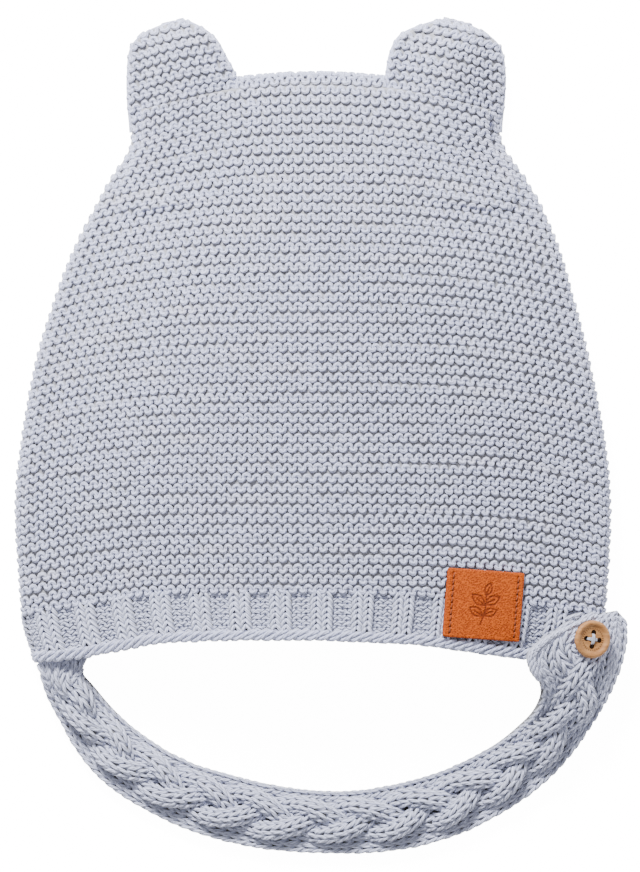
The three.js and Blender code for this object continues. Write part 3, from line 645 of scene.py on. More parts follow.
# %%
# Seams over the ears and the top
def seam_yarn(skin, m, offset):
    """A strand that follows a fold up the left side, over the top and down the right side."""
    right, _, left = skin.mark(m)
    up_side, up_hints = skin.at(m, left + offset, -0.75 + rng.normal(0, 0.1, len(m)))
    down_side, down_hints = skin.at(m, right - offset, -0.75 + rng.normal(0, 0.1, len(m)))
    path = np.concatenate([up_side, down_side[::-1]])
    hints = np.concatenate([up_hints, down_hints[::-1]])
    for _ in range(10):
        path[1:-1] = (path[:-2] + 2 * path[1:-1] + path[2:]) / 4
    return tubes(path[None], hints[None], 0.75, 7)


def top_stitches(slant, start):
    """Short stitches that lean over the top edge of the crown, between the ears."""
    end = crown.m[-1]
    right, _, left = crown.mark(end)
    a = np.arange(left - float(crown.length[-1]) + start, right, 2.2)[:, None]
    m = end - np.array([3.4, 2.5, 1.5, 0.6, 0.02])
    sideways = slant * np.array([-1.0, -0.5, 0.1, 0.6, 1.0])
    depth = np.array([-1.0, -0.5, -0.3, -0.35, -0.6])
    a = a + rng.normal(0, 0.1, a.shape) + sideways
    points, hints = crown.at(m + 0 * a, a, depth + rng.normal(0, 0.07, (len(a), 1)))
    x = points[:, 2, 0]
    good = (x > -HALF * 0.275) & (x < HALF * 0.26)
    return tubes(points[good], hints[good], 0.6, 6)


seams = []
for side in ears:
    for offset in (-1.4, 0.0, 1.4):
        m = np.arange(EAR_FROM - 6.0, EAR_TOP_ROW + 1.1 - 0.25 * abs(offset), 0.7)
        seams.append(seam_yarn(ears[side], m, offset))
seams += [top_stitches(0.55, 0.0), top_stitches(-0.55, 1.1)]
piece("seam_yarn", merge(seams), knit, "crown")
print("seams", triangles["seam_yarn"], "triangles")

# %%
# Garter stitch on the back
back_parts = [arches(crown, crown_rows, between_ears, PLAIN_ARCH, 5, "back")]
back_parts += [arches(ears[side], ear_rows, None, PLAIN_ARCH, 5, "back") for side in ears]
piece("crown_back", merge(back_parts), knit, "crown")
print("back", triangles["crown_back"], "triangles, so far", sum(triangles.values()))

# %% [markdown]
# Under the stitches lies the ground: a thin shell of the same fabric that closes the gaps between
# the tubes, and whose inside is seen through the mouth of the hat. Its colour is painted darker than
# the stitches, as shade. Thicker yarn could close the gaps as well, but then the stitches would lose
# their depth.


# %%
# The ground of the crown and ears
def shell(skin, rows, outer, inner, every=4, at_fold=None):
    """A closed shell between two depths under a skin. At the folds its outside comes further out."""
    around = np.arange(0, skin.STEPS, every) / skin.STEPS
    a = around[None, :] * skin.round(rows)[:, None]
    m = np.repeat(rows[:, None], len(around), 1)
    depth = outer(m, a) if callable(outer) else np.full_like(m, outer)
    if at_fold is not None:
        level = np.clip(abs(skin.at(m, a)[1][..., 2]) / 0.75, 0, 1)
        depth = at_fold + (depth - at_fold) * level**2
    outside, _ = skin.at(m, a, -depth)
    inside, _ = skin.at(m, a, -inner(m, a) if callable(inner) else np.full_like(m, -inner))
    points = np.concatenate([inside[::-1], outside])
    return plain(points, grid_faces(2 * len(rows), len(around), True))


crown_levels = np.r_[np.arange(BAND_DEPTH, 180, 3.0), np.arange(180, crown.m[-1], 1.0)]
ear_levels = np.r_[np.arange(178, 205, 2.0), np.arange(205, ear_ms[-1] + 0.3, 0.8)]
grounds = [shell(crown, crown_levels, 1.5, 3.0, 3, 0.5)]
grounds += [shell(ears[side], ear_levels, 1.5, 2.9, 4, 0.45) for side in ears]
piece("crown_ground", merge(grounds), ground, "crown")
print("ground", triangles["crown_ground"], "triangles")

# %% [markdown]
# The brim is ribbed two by two. A knit rib stands proud and shows two columns of slanting legs,
# leaning in and out in turn. The groove beside it shows short level bumps. Thirty ribs go
# round, a little under 14 mm apart along the fabric. They could be pushed up out of one smooth
# surface, but it is the single legs that catch the light, so each leg and bump is a tube too.

# %%
# Places of the ribs
RIB_PITCH, RIB_HEIGHT, RIB_ROW = 13.75, 1.2, 1.85
RIB_FIRST = 2.9  # the rib nearest the middle lies this far to the right
rim_round = float(crown.round(BAND_DEPTH))
ribs = int(round(rim_round / RIB_PITCH))


def rib_places(m, offset):
    """Shares round the rim and an offset in mm, for every rib at a level."""
    spread = crown.round(m) / rim_round
    return np.arange(ribs) / ribs + RIB_FIRST / rim_round, np.full(ribs, offset * spread)


def rib_depth(m, a):
    """How far the ground of the band lies under a rib's top, 0 on a rib."""
    share = a / crown.round(m)
    phase = ((share - RIB_FIRST / rim_round) * ribs + 0.5) % 1 - 0.5
    k = np.clip((abs(phase) - 0.24) / 0.09, 0, 1)
    return RIB_HEIGHT * k * k * (3 - 2 * k)


print(ribs, "ribs", round(rim_round / ribs, 1), "mm apart")

# %%
# Knit ribs and purl grooves
LEG = np.array([  # one leg of a knit stitch: across, up and height, in mm
    (-0.72, -1.55, -1.7), (-0.6, -0.95, -0.8), (-0.15, 0.1, -0.4), (0.42, 0.95, -0.6), (0.62, 1.5, -1.7)])
PURL = np.array([  # one bump of a purl stitch
    (-1.5, -0.55, -2.5), (-0.95, -0.2, -1.7), (0.0, 0.25, -1.4), (0.95, -0.2, -1.7), (1.5, -0.55, -2.5)])
HALF_RIB = RIB_PITCH / 2
# off the middle of a rib, turned across, turned up, raised by
LEG_COLUMNS = [(-2.65, 1, 1, 0), (-0.88, -1, 1, 0), (0.88, 1, 1, 0), (2.65, -1, 1, 0)]
PURL_COLUMNS = [(HALF_RIB - 1.6, 1, 1, -0.15), (HALF_RIB + 1.6, 1, 1, -0.15),
                (HALF_RIB - 3.2, 0.95, -1, 0.6), (HALF_RIB, 0.95, -1, 0.6), (HALF_RIB + 3.2, 0.95, -1, 0.6)]


def rib_stitches(shape, placing, radius, top):
    """Tubes of one shape for every row and rib."""
    parts = []
    for m in np.arange(RIM_CORD + 0.9, top, RIB_ROW):
        for offset, turn_t, turn_u, raised in placing:
            share, place = rib_places(m, offset)
            t = place[:, None] + shape[None, :, 0] * turn_t + rng.normal(0, 0.06, (ribs, 1))
            u = m + shape[None, :, 1] * turn_u + raised + rng.normal(0, 0.06, (ribs, 1))
            h = shape[None, :, 2] + rng.normal(0, 0.05, (ribs, 1))
            points, normals = crown.at(np.maximum(u, 0), t, h, share[:, None])
            parts.append(tubes(points, normals, radius, 5))
    return parts


legs = rib_stitches(LEG, LEG_COLUMNS, 0.69, BAND_DEPTH + 0.7)
bumps = rib_stitches(PURL, PURL_COLUMNS, 0.56, BAND_DEPTH + 1.7)
piece("rib_stitches", merge(legs + bumps), rope, "rib_band")
# the ground of the band is painted in deep shade between the ribs
band_ground = shell(crown, np.arange(RIM_CORD - 1.0, BAND_DEPTH + 1.6, 2.0),
                    lambda m, a: 1.35 + 0.75 * rib_depth(m, a), lambda m, a: 2.9 + 0.9 * rib_depth(m, a), 1)
piece("rib_ground", band_ground, shade_ground, "rib_band")
print(ribs * (len(legs) + len(bumps)), "legs and bumps in the ribbing")

# %% [markdown]
# The rim is bound off with a chain: one fat slanting loop per stitch, leaning like rope. A twisted
# rope would look alike from afar, but a chain's loops come up and dive again. So each loop is laid
# by itself, as two strands of yarn over a round core.

# %%
# Bound-off rim
LOOP_PITCH = 3.5
# the middle of a loop: across, up and height, in mm, and half the way between its strands
LOOP = np.array([
    (-3.3, -0.5, -2.8, 0.2), (-2.4, -0.72, -1.5, 0.4), (-1.0, -0.5, -0.45, 0.66), (0.6, 0.25, -0.2, 0.7),
    (2.1, 0.8, -0.8, 0.5), (3.0, 0.75, -2.3, 0.2)])


def loop_strands(pitch_scale=1.0):
    """The two strands of a loop, as offsets across, up and in height."""
    for strand in (-1, 1):
        across, up, height, half_gap = (LOOP * [pitch_scale, 1, 1, strand]).T
        yield across + half_gap * 0.55, up - half_gap * 0.9, height


whole = float(crown.round(RIM_CORD / 2))
loops = int(round(whole / LOOP_PITCH))
rim_parts = []
for across, up, height in loop_strands():
    share = np.arange(loops) / loops
    t = across[None, :] + rng.normal(0, 0.1, (loops, 1))
    u = 2.2 + up[None, :] * (1 + rng.normal(0, 0.08, (loops, 1)))
    points, normals = crown.at(np.maximum(u, 0.0), t, height + 0 * u, share[:, None])
    points[..., 1] += np.minimum(u, 0.0)
    rim_parts.append(tubes(points, normals, 0.82, 6))
core_a = np.linspace(0, whole, 161)
core, core_normals = crown.at(np.full_like(core_a, 1.9), core_a, np.full_like(core_a, -2.1))
rim_parts.append(tubes(core[None], core_normals[None], 1.4, 8))
piece("rim_chain", merge(rim_parts), knit, "rim_edge")
print(loops, "loops round the rim")

# %% [markdown]
# The chin strap is a cable-knit band. Three strands of knitting plait over and under each other
# between two edge chains, and the band spreads into a flat tab at both ends. A straight strap could
# be bent along a curve, but this one changes its width and its tilt as it goes. So it is laid out
# between two edges, from its end inside the hat to the tab with the button. They are those of its
# solid, apart from the first 2 cm, which leave the hat nearer to its corner than the solid does.

# %%
# The two edges of the strap
STRAP_THICK = 7.2
# outAcross, outUp, inAcross, inUp, outHigh, inHigh, full: the rows of the part's own table, but the
# first four lie up to 6 mm nearer to the fold at the outer edge, where the real strap comes out
STRAP_ROWS = [
    (-0.875, 0.05, -0.76, 0.05, 0.66, 0.66, 0), (-0.912, -0.012, -0.765, -0.012, 0.66, 0.66, 0),
    (-0.915, -0.045, -0.765, -0.036, 0.66, 0.66, 0.1), (-0.913, -0.066, -0.766, -0.063, 0.55, 0.66, 0.5),
    (-0.892, -0.1, -0.729, -0.086, 0.25, 0.45, 0.9), (-0.854, -0.139, -0.679, -0.116, 0.08, 0.2, 1),
    (-0.807, -0.185, -0.619, -0.146, 0, 0.04, 1), (-0.74, -0.232, -0.556, -0.171, 0, 0, 1),
    (-0.653, -0.271, -0.479, -0.197, 0, 0, 1), (-0.552, -0.303, -0.385, -0.22, 0, 0, 1),
    (-0.439, -0.331, -0.291, -0.234, 0, 0, 1), (-0.305, -0.354, -0.191, -0.248, 0, 0, 1),
    (-0.151, -0.37, -0.067, -0.26, 0, 0, 1), (0.017, -0.376, 0.04, -0.265, 0, 0, 1),
    (0.174, -0.376, 0.151, -0.264, 0, 0, 1), (0.331, -0.367, 0.258, -0.255, 0, 0, 1),
    (0.475, -0.346, 0.361, -0.242, 0, 0, 1), (0.599, -0.316, 0.455, -0.225, 0, 0, 1),
    (0.713, -0.279, 0.539, -0.204, 0.1, 0.11, 1), (0.813, -0.234, 0.616, -0.181, 0.28, 0.35, 1),
    (0.893, -0.183, 0.679, -0.156, 0.56, 0.77, 1), (0.95, -0.135, 0.729, -0.132, 0.84, 1.33, 1),
    (0.99, -0.098, 0.76, -0.1, 1.0, 1.9, 0.95), (1.017, -0.065, 0.753, -0.072, 1.12, 2.46, 0.75),
    (1.037, -0.035, 0.722, -0.049, 1.15, 2.84, 0.5), (1.05, 0, 0.719, -0.018, 1.15, 2.92, 0.25),
    (1.047, 0.035, 0.8, 0.014, 1.2, 2.54, 0.1), (1.018, 0.053, 0.925, 0.045, 1.4, 1.94, 0)]
strap_table = np.array([(i / (len(STRAP_ROWS) - 1), *row) for i, row in enumerate(STRAP_ROWS)])
print(len(STRAP_ROWS), "rows along the strap")


def strap_edges(t):
    """Outer and inner edge of the strap's underside, and how fully it is plaited there."""
    def edge(across, up, high):
        return np.stack([HALF * smooth(strap_table, across, t),
                         CROWN_LENGTH * smooth(strap_table, up, t) - ORIGIN_UP,
                         STRAP_THICK * np.maximum(smooth(strap_table, high, t), 0)], -1)

    return edge(1, 2, 5), edge(3, 4, 6), np.clip(smooth(strap_table, 7, t), 0, 1)


def unit(v):
    return v / np.maximum(np.linalg.norm(v, axis=-1, keepdims=True), 1e-9)


def read_points(at, known, points):
    """Points that are known along a line, read off at other places on it."""
    return np.stack([np.interp(at, known, points[:, k]) for k in range(3)], -1)


# %%
# The run of the strap
class Strap:
    """Points on the strap: l along it, w across from its middle towards the outside, h up, in mm."""

    def __init__(self):
        out, inn, full = strap_edges(np.linspace(0, 1, 1401))
        middle = (out + inn) / 2
        l = np.r_[0, np.cumsum(np.linalg.norm(np.diff(middle, axis=0), axis=1))]
        self.l = np.arange(0, l[-1], 0.5)
        self.middle, across = read_points(self.l, l, middle), read_points(self.l, l, out - inn)
        self.wide = np.linalg.norm(across, axis=1)
        self.side = unit(across)
        forward = unit(np.gradient(self.middle, axis=0))
        up = unit(np.cross(self.side, forward))
        self.up = up * np.where(up[:, 2:] < 0, -1, 1)
        self.full = np.interp(self.l, l, full)
        self.middle = self.middle - self.up * [3.0, 3.0, 0.0]  # a tilt would carry the top outwards
        self.length = self.l[-1]

    def at(self, l, w, h):
        l, w, h = np.broadcast_arrays(l, w, h)
        up, side = unit(read_points(l, self.l, self.up)), unit(read_points(l, self.l, self.side))
        return read_points(l, self.l, self.middle) + side * w[..., None] + up * h[..., None], up

    def wide_at(self, l):
        return np.interp(l, self.l, self.wide)

    def full_at(self, l):
        return np.interp(l, self.l, self.full)


strap = Strap()
usual = round(float(np.median(strap.wide)), 1)
print("strap", round(float(strap.length)), "mm long, about", usual, "mm wide")

# %% [markdown]
# Each strand of the plait is a round bundle of two knitted columns. Its middle swings from side
# to side, and it rises over one neighbour and dips under the next. One surface with a pattern of
# heights would fill the gaps where strands cross, so each strand has its own path. The legs of its
# stitches are tubes laid on that bundle, their points all leading along the strap.

# %%
# The path of a strand
STRAND, CROSSING = 3.3, 1.9  # radius of a strand, and its rise and fall
PLAIT_PERIOD = 56.0
V_LEG = np.array([  # one leg of a knit stitch: along the run, off its middle, and height, in mm
    (0.0, 1.3, -1.2), (1.0, 1.18, -0.2), (2.4, 0.85, 0.15), (3.8, 0.48, 0.05), (4.9, 0.18, -0.6),
    (5.5, 0.04, -1.4)])
V_THICK = np.array([0.7, 1.0, 1.06, 1.03, 0.9, 0.55])  # a leg thins out where it dives under


def strand_path(i, step=0.5):
    """Middle of a strand with the ways to its side and up. It is on top as it swings inwards."""
    l = np.arange(1.0, strap.length - 1.0, step)
    turn = 2 * math.pi * (l / PLAIT_PERIOD + i / 3)
    full, wide = strap.full_at(l), strap.wide_at(l)
    spread = (i - 1) * wide * 0.26
    swing = np.clip(wide / 2 - 6.0, 3.4, 5.3)
    w = (swing * np.sin(turn) - 0.7) * full + spread * (1 - full)
    h = 3.6 + full * (0.9 - CROSSING * np.sin(2 * turn))
    points, up = strap.at(l, w, h)
    tangent = unit(np.gradient(points, axis=0))
    side = unit(np.cross(up, tangent))
    run = np.r_[0, np.cumsum(np.linalg.norm(np.diff(points, axis=0), axis=1))]
    return l, run, full, points, side, unit(np.cross(tangent, side))


def lay(path, s, w, h):
    """Points beside a strand: s along it, w to its side and h over its middle."""
    _, run, full, points, side, up = path
    flat = 1 - np.interp(s, run, full)
    over = np.sqrt(np.maximum(STRAND**2 - w**2, 0.2)) - STRAND * 0.35
    over = over + (0.55 - over) * flat
    sides, ups = unit(read_points(s, run, side)), unit(read_points(s, run, up))
    off = sides * (w * (1 + 0.55 * flat))[..., None] + ups * (h + over)[..., None]
    return read_points(s, run, points) + off, ups


print("a strand is", round(float(strand_path(0)[1][-1])), "mm long")

# %%
# The plait
strap_parts, cores_in_shade = [], []
for i in range(3):
    path = strand_path(i)
    l, run, _, points, _, up = path
    start = np.arange(0.3, run[-1] - 5.6, 3.15)
    n = len(start)
    for wale in (-1.6, 1.6):
        for leg in (-1, 1):
            s = start[:, None] + V_LEG[None, :, 0] + rng.normal(0, 0.15, (n, 1))
            w = wale + leg * (V_LEG[None, :, 1] + rng.normal(0, 0.08, (n, 1))) + 0 * s
            h = V_LEG[None, :, 2] + rng.normal(0, 0.12, (n, 1)) + 0 * s
            laid, hints = lay(path, s, w, h)
            strap_parts.append(tubes(laid, hints, 0.66 * V_THICK[None], 5))
    inner = (l > 34) & (l < strap.length - 42)
    # cores under the legs, drawn in painted deep shade
    cores_in_shade.append(tubes(points[inner][None, ::4], up[inner][None, ::4], 1.9, 8))
piece("strap_plait", merge(strap_parts), rope, "chin_strap")
print("plait", triangles["strap_plait"], "triangles")

# %% [markdown]
# Beside the plait run flat columns of knit stitches: an edge chain on each side, a sunk column
# between it and the plait, and a fan of columns on the flat ends. The tab is cast off like the rim.
# All of them only follow the edges of the strap, so one function makes them.


# %%
# Edge chains and the flat ends
def columns(low, high, pitch, shares, inset, height):
    """Columns of knit stitches that follow the strap's edges, at shares of its half width."""
    parts = []
    rows = np.arange(low, high, pitch)
    n = len(rows)
    for share in shares:
        for leg in (-1, 1):
            s = rows[:, None] + V_LEG[None, :, 0] + rng.normal(0, 0.12, (n, 1))
            off = leg * (V_LEG[None, :, 1] + rng.normal(0, 0.06, (n, 1)))
            h = height(strap.full_at(s)) + V_LEG[None, :, 2] + rng.normal(0, 0.08, (n, 1))
            points, hints = strap.at(s, share * (strap.wide_at(s) / 2 - inset) + off, h)
            parts.append(tubes(points, hints, 0.62 * V_THICK[None], 5))
    return parts


end = strap.length
edges = columns(8.0, end - 5.8, 3.2, (-1, 1), 1.75, lambda full: 3.6 + 0 * full)
edges += columns(9.0, end - 5.8, 3.2, (-1, 1), 4.0, lambda full: 3.4 + 0.9 * (1 - full))
piece("strap_edges", merge(edges), rope, "chin_strap")
fans = columns(end - 40, end - 5.4, 3.0, np.linspace(-0.82, 0.82, 8), 2.2, lambda full: 4.5 - 1.5 * full)
fans += columns(6.0, 25.0, 3.0, (-0.96, -0.48, 0.0, 0.48, 0.96), 1.7, lambda full: 4.6 - 0.6 * full)

loops = 13
s = end - 22.0 + 21.0 * np.linspace(0, 1, loops)
end_wide = float(strap.wide_at(end - 1.5))
for across, up, height in loop_strands(0.8):
    run = s[:, None] + across[None, :] + rng.normal(0, 0.15, (loops, 1))
    w = -(strap.wide_at(run) / 2 - 1.0) + up[None, :] * 0.9
    points, hints = strap.at(run, w, 4.9 + height * 0.8 + 0 * run)
    fans.append(tubes(points, hints, 0.68, 6))
    w = np.arange(-end_wide / 2 + 1.6, end_wide / 2 - 1.5, 2.4)[:, None]
    points, hints = strap.at(end - 1.9 + up + 0 * w, w + across * 0.7, 4.5 + height * 0.8 + 0 * w)
    fans.append(tubes(points, hints, 0.66, 6))
piece("strap_tabs", merge(fans), rope, "chin_strap")
print("edges and tabs", triangles["strap_edges"] + triangles["strap_tabs"], "triangles")

# %%
# The ground of the strap, in painted deep shade
# share of the half width, and height in mm, round one cross-section
STRAP_SECTION = [
    (0.9, 0.05), (0.97, 0.9), (0.98, 1.9), (0.9, 2.75), (0.7, 2.9), (0.35, 3.1), (0, 3.2), (-0.35, 3.1),
    (-0.7, 2.9), (-0.9, 2.75), (-0.98, 1.9), (-0.97, 0.9), (-0.9, 0.05), (-0.4, 0.0), (0.4, 0.0)]
stations = np.arange(0, strap.length, 2.0)
rings = np.stack([strap.at(stations, strap.wide_at(stations) / 2 * share, high)[0]
                  for share, high in STRAP_SECTION], axis=1)
band = plain(rings, grid_faces(len(stations), len(STRAP_SECTION), True))
piece("strap_ground", merge([band, *cores_in_shade]), shade_ground, "chin_strap")
print("strap", sum(v for k, v in triangles.items() if k.startswith("strap")), "triangles in all")

# %% [markdown]
# The label is a small rectangle of tan leather, sewn on by its two sides. It follows the front of
# the hat. Its drawing, a plain sprig of leaves, is pressed in. A bump in the material would do from
# afar, but a fine grid whose points sink along the lines also catches the light from the side.

# %%
# The drawing on the label
LABEL_WIDE, LABEL_TALL, LABEL_THICK, LABEL_TURN = 25.2, 22.6, 1.1, math.radians(-4.5)
LABEL_X, LABEL_Y = HALF * 0.565, CROWN_LENGTH * 0.064 - ORIGIN_UP
# root and tip of each leaf, in mm from the middle of the drawing
LEAVES = [((0.9, 3.4), (1.9, 7.6)), ((0.75, 0.6), (5.2, 3.3)), ((0.6, 0.2), (-3.7, 3.5)),
          ((0.3, -3.0), (4.7, -1.0)), ((0.1, -3.2), (-4.3, -0.8))]


def arc(p, q, bend, count=40):
    """Points from p to q, bulging sideways by bend."""
    k = np.linspace(0, 1, count)[:, None]
    p, q = np.array(p, float), np.array(q, float)
    off = np.array([-(q - p)[1], (q - p)[0]]) * bend
    return p * (1 - k) + q * k + off * np.sin(math.pi * k)


def leaf(root, tip):
    """The two sides of a leaf and its short middle vein."""
    vein = np.array(root) * 0.35 + np.array(tip) * 0.65
    return [arc(root, tip, 0.26), arc(root, tip, -0.26), arc(root, vein, 0.02, 16)]


sprig = [arc((-0.6, -6.2), (0.9, 3.4), -0.06)]
for root, tip in LEAVES:
    sprig += leaf(root, tip)
sprig = np.concatenate(sprig)
print("sprig of", len(LEAVES), "leaves drawn with", len(sprig), "points")

# %%
# The relief of the label
COLUMNS, ROWS = 104, 94
SEAM_IN, SEAM_STEP = 2.0, 1.98  # from the side edges to the stitching, and from stitch to stitch
u, v = np.meshgrid(np.linspace(-0.5, 0.5, COLUMNS) * LABEL_WIDE, np.linspace(-0.5, 0.5, ROWS) * LABEL_TALL)
corner = 0.021 * (2 * abs(u) / LABEL_WIDE) ** 24 * (2 * abs(v) / LABEL_TALL) ** 24
u, v = u * (1 - corner), v * (1 - corner)
drawn = np.full(u.shape, 9.0)
for x, y in sprig:
    drawn = np.minimum(drawn, np.hypot(u + 0.3 - x, v + 0.4 - y))
mark = np.clip(1 - (drawn - 0.16) / 0.22, 0, 1)
from_seam = abs(u) - (LABEL_WIDE / 2 - SEAM_IN)
hole = np.hypot(from_seam, (v / SEAM_STEP + 0.5) % 1 * SEAM_STEP - SEAM_STEP / 2)
hole = np.clip(1 - (hole - 0.2) / 0.25, 0, 1) * (abs(v) < LABEL_TALL / 2 - 1.0)
edge = np.minimum(LABEL_WIDE / 2 - abs(u), LABEL_TALL / 2 - abs(v))
soft = np.clip(edge / 0.5, 0, 1)
rounded = 1 - np.sqrt(np.clip(1 - (1 - soft) ** 2, 0, 1))
seam = np.minimum(abs(from_seam) / 0.55, 1)
label_lift = LABEL_THICK - 0.18 * mark - 0.3 * hole - 0.35 * rounded - 0.16 * (1 - seam)
print("label", LABEL_WIDE, "by", LABEL_TALL, "mm, pressed", round(float(0.18 * mark.max()), 2), "mm deep")


# %%
# The label on the front of the hat
def front_at(x, y):
    """Height of the front over a place on the table."""
    up = y + ORIGIN_UP
    for _ in range(8):
        up = y + ORIGIN_UP + sag(x, up)
    return front_height(x, up)


def label_place(u, v, lift):
    """Points of the label, u to the right, v up and lift off the knitting."""
    x = LABEL_X + u * math.cos(LABEL_TURN) - v * math.sin(LABEL_TURN)
    y = LABEL_Y + u * math.sin(LABEL_TURN) + v * math.cos(LABEL_TURN)
    z = front_at(x, y)
    slope_x = front_at(x + 0.5, y) - front_at(x - 0.5, y)
    slope_y = front_at(x, y + 0.5) - front_at(x, y - 0.5)
    normal = unit(np.stack([-slope_x, -slope_y, np.ones_like(slope_x)], -1))
    return np.stack([x, y, z + 0.3], -1) + normal * np.asarray(lift)[..., None], normal


last = COLUMNS * (ROWS - 1)
rim = np.r_[np.arange(COLUMNS), COLUMNS - 1 + COLUMNS * np.arange(1, ROWS),
            last + np.arange(COLUMNS - 2, -1, -1), COLUMNS * np.arange(ROWS - 2, 0, -1)]
around = len(rim)
rim_u, rim_v, flat = u.ravel()[rim], v.ravel()[rim], np.zeros(around)
label_points = np.concatenate([
    label_place(u, v, label_lift)[0].reshape(-1, 3), label_place(rim_u, rim_v, flat)[0],
    label_place(rim_u * 0.9, rim_v * 0.9, flat)[0]])
here = np.arange(around)
following, top_count = (here + 1) % around, ROWS * COLUMNS
low, tuck = top_count + here, top_count + around + here
low_next, tuck_next = top_count + following, top_count + around + following
label_faces = np.concatenate([
    grid_faces(ROWS, COLUMNS, False), np.stack([rim, low, low_next, rim[following]], -1),
    np.stack([low, tuck, tuck_next, low_next], -1)])
blank = np.zeros(2 * around)
# the stitch holes join the pressed drawing: painted shade in the holes
label_pressed_and_hole_shade = np.r_[np.maximum(mark, 1.1 * hole).ravel(), blank]
label_edge = np.r_[soft.ravel(), blank]
label_twist = np.column_stack([label_pressed_and_hole_shade, label_edge, np.zeros(len(label_pressed_and_hole_shade))])
print("label", len(label_faces), "faces")

# %% [markdown]
# The leather is tan and matt, with a fine pebbled grain. It is darker where the drawing is pressed
# in and along its cut edges, and its stitch holes are painted dark as shade. These are kept as
# numbers on the points of the mesh, because a noise texture can make a grain but can't follow a
# drawing.

# %%
# Leather and its stitching
tan = Finish("tan_leather")
pressed_and_hole_shade, inside, _ = tan.parts("twist")
place = tan.position()
pebbles = tan.nodes.new("ShaderNodeTexVoronoi")
pebbles.inputs["Scale"].default_value = 1700
tan.links.new(place, pebbles.inputs["Vector"])
pebble, cloud = pebbles.outputs["Distance"], tan.noise(260, 5, place)
grain = tan.reckon("MULTIPLY_ADD", pebble, 0.8, tan.reckon("MULTIPLY", cloud, 0.3))
colour = tan.ramp(grain, (0.3, (0.26, 0.036, 0.001)), (0.72, (0.5, 0.088, 0.005)))
# darker where pressed in, and painted shade in the stitch holes
colour = tan.mix(tan.reckon("MULTIPLY", pressed_and_hole_shade, 0.8), colour, (0.1, 0.012, 0.002))
# darker along the cut edges
cut_edge_darkening = tan.reckon("MULTIPLY", tan.reckon("SUBTRACT", 1.0, inside), 0.5)
tan.paint(tan.mix(cut_edge_darkening, colour, (0.26, 0.04, 0.005)))
tan.relief(tan.reckon("MULTIPLY_ADD", cloud, 0.25, pebble), 0.9, 0.00022)
tan.gloss(0.7, 0.2)
label_made = (label_points, label_faces, label_twist, np.full(len(label_points), 0.5))
piece("label_leather", label_made, tan.material, "label")

seam_thread = yarn_material("seam_thread", (0.3, 0.055, 0.006), (0.16, 0.025, 0.003), (0.3, 0.06, 0.01),
                            3, 1.6, 0.05)
sewn = []
s = np.linspace(-0.5, 0.5, 6)
for side in (-1, 1):
    sewn_v = (np.arange(10) - 4.5)[:, None] * SEAM_STEP + s[None, :] * 1.75
    sewn_u = side * (LABEL_WIDE / 2 - SEAM_IN) + s[None, :] * 0.35 + 0 * sewn_v
    lift = LABEL_THICK - 0.1 + 0.12 * np.cos(s * math.pi) - 0.5 * (abs(s) > 0.4) + 0 * sewn_v
    points, hints = label_place(sewn_u, sewn_v, lift)
    sewn.append(tubes(points, hints, 0.22, 6))
piece("label_stitching", merge(sewn), seam_thread, "label")
print("label leather", triangles["label_leather"], "triangles")

# %% [markdown]
# The button is turned wood with a raised rim, a sunk middle and four holes, sewn to the tab with
# crossed grey thread. It lies on the slope of the tab, so it is made flat at the origin and then
# moved there. The holes are cut with a boolean, which gives them clean round walls. They are a
# little wider than in the solid, so that they still show round the thread.


# %%
# The place of the button
def on_tab(x, y, lift):
    """The axes of a small thing that lies on the tab at a place, as in the part's source."""
    t = np.linspace(0, 1, 401)
    t = t[t >= 0.8]
    out, inn, _ = strap_edges(t)
    f = np.clip((x - inn[:, 0]) / (out - inn)[:, 0], 0, 1)
    p = inn + (out - inn) * f[:, None]
    i = int(np.argmin(np.hypot(p[:, 0] - x, p[:, 1] - y)))
    ahead, behind = (strap_edges(min(max(t[i] + d, 0), 1)) for d in (0.004, -0.004))
    side = unit((out - inn)[i])
    up = unit(np.cross(side, ahead[0] + ahead[1] - behind[0] - behind[1]))
    up = up * (1 if up[2] > 0 else -1)
    axes = np.column_stack([side, np.cross(up, side), up, p[i] + up * lift])
    return Matrix([*axes.tolist(), [0, 0, 0, 1]])


button_frame = on_tab(HALF * 0.904, CROWN_LENGTH * 0.004 - ORIGIN_UP, STRAP_THICK * 0.78 + 0.3)


def placed(points):
    m = np.array(button_frame)
    return points @ m[:3, :3].T + m[:3, 3]


print("button at", [round(v, 1) for v in button_frame.translation])

# %%
# The turned shape
BUTTON_R, BUTTON_THICK, BUTTON_DISH, BUTTON_RIM = 6.25, 2.3, 0.8, 1.7
HOLES_OUT, HOLE_R, HOLES_TURN = 2.3, 0.88, math.radians(-14)
TURNS = 96
dish = BUTTON_THICK - BUTTON_DISH
inner_r = BUTTON_R - BUTTON_RIM
button_profile = [
    (0.01, 0), (BUTTON_R - 1.1, 0), (BUTTON_R - 0.3, 0.35), (BUTTON_R - 0.03, 0.8), (BUTTON_R, 1.2),
    (BUTTON_R - 0.05, 1.6), (BUTTON_R - 0.25, 1.95), (BUTTON_R - 0.55, 2.2), (BUTTON_R - 0.9, BUTTON_THICK),
    (BUTTON_R - 1.25, 2.2), (inner_r, 1.95), (inner_r - 0.3, dish + 0.15), (inner_r - 0.8, dish + 0.03),
    (0.01, dish)]
angle = 2 * math.pi * np.arange(TURNS) / TURNS
rings = np.array([np.column_stack([r * np.cos(angle), r * np.sin(angle), np.full(TURNS, z)])
                  for r, z in button_profile])

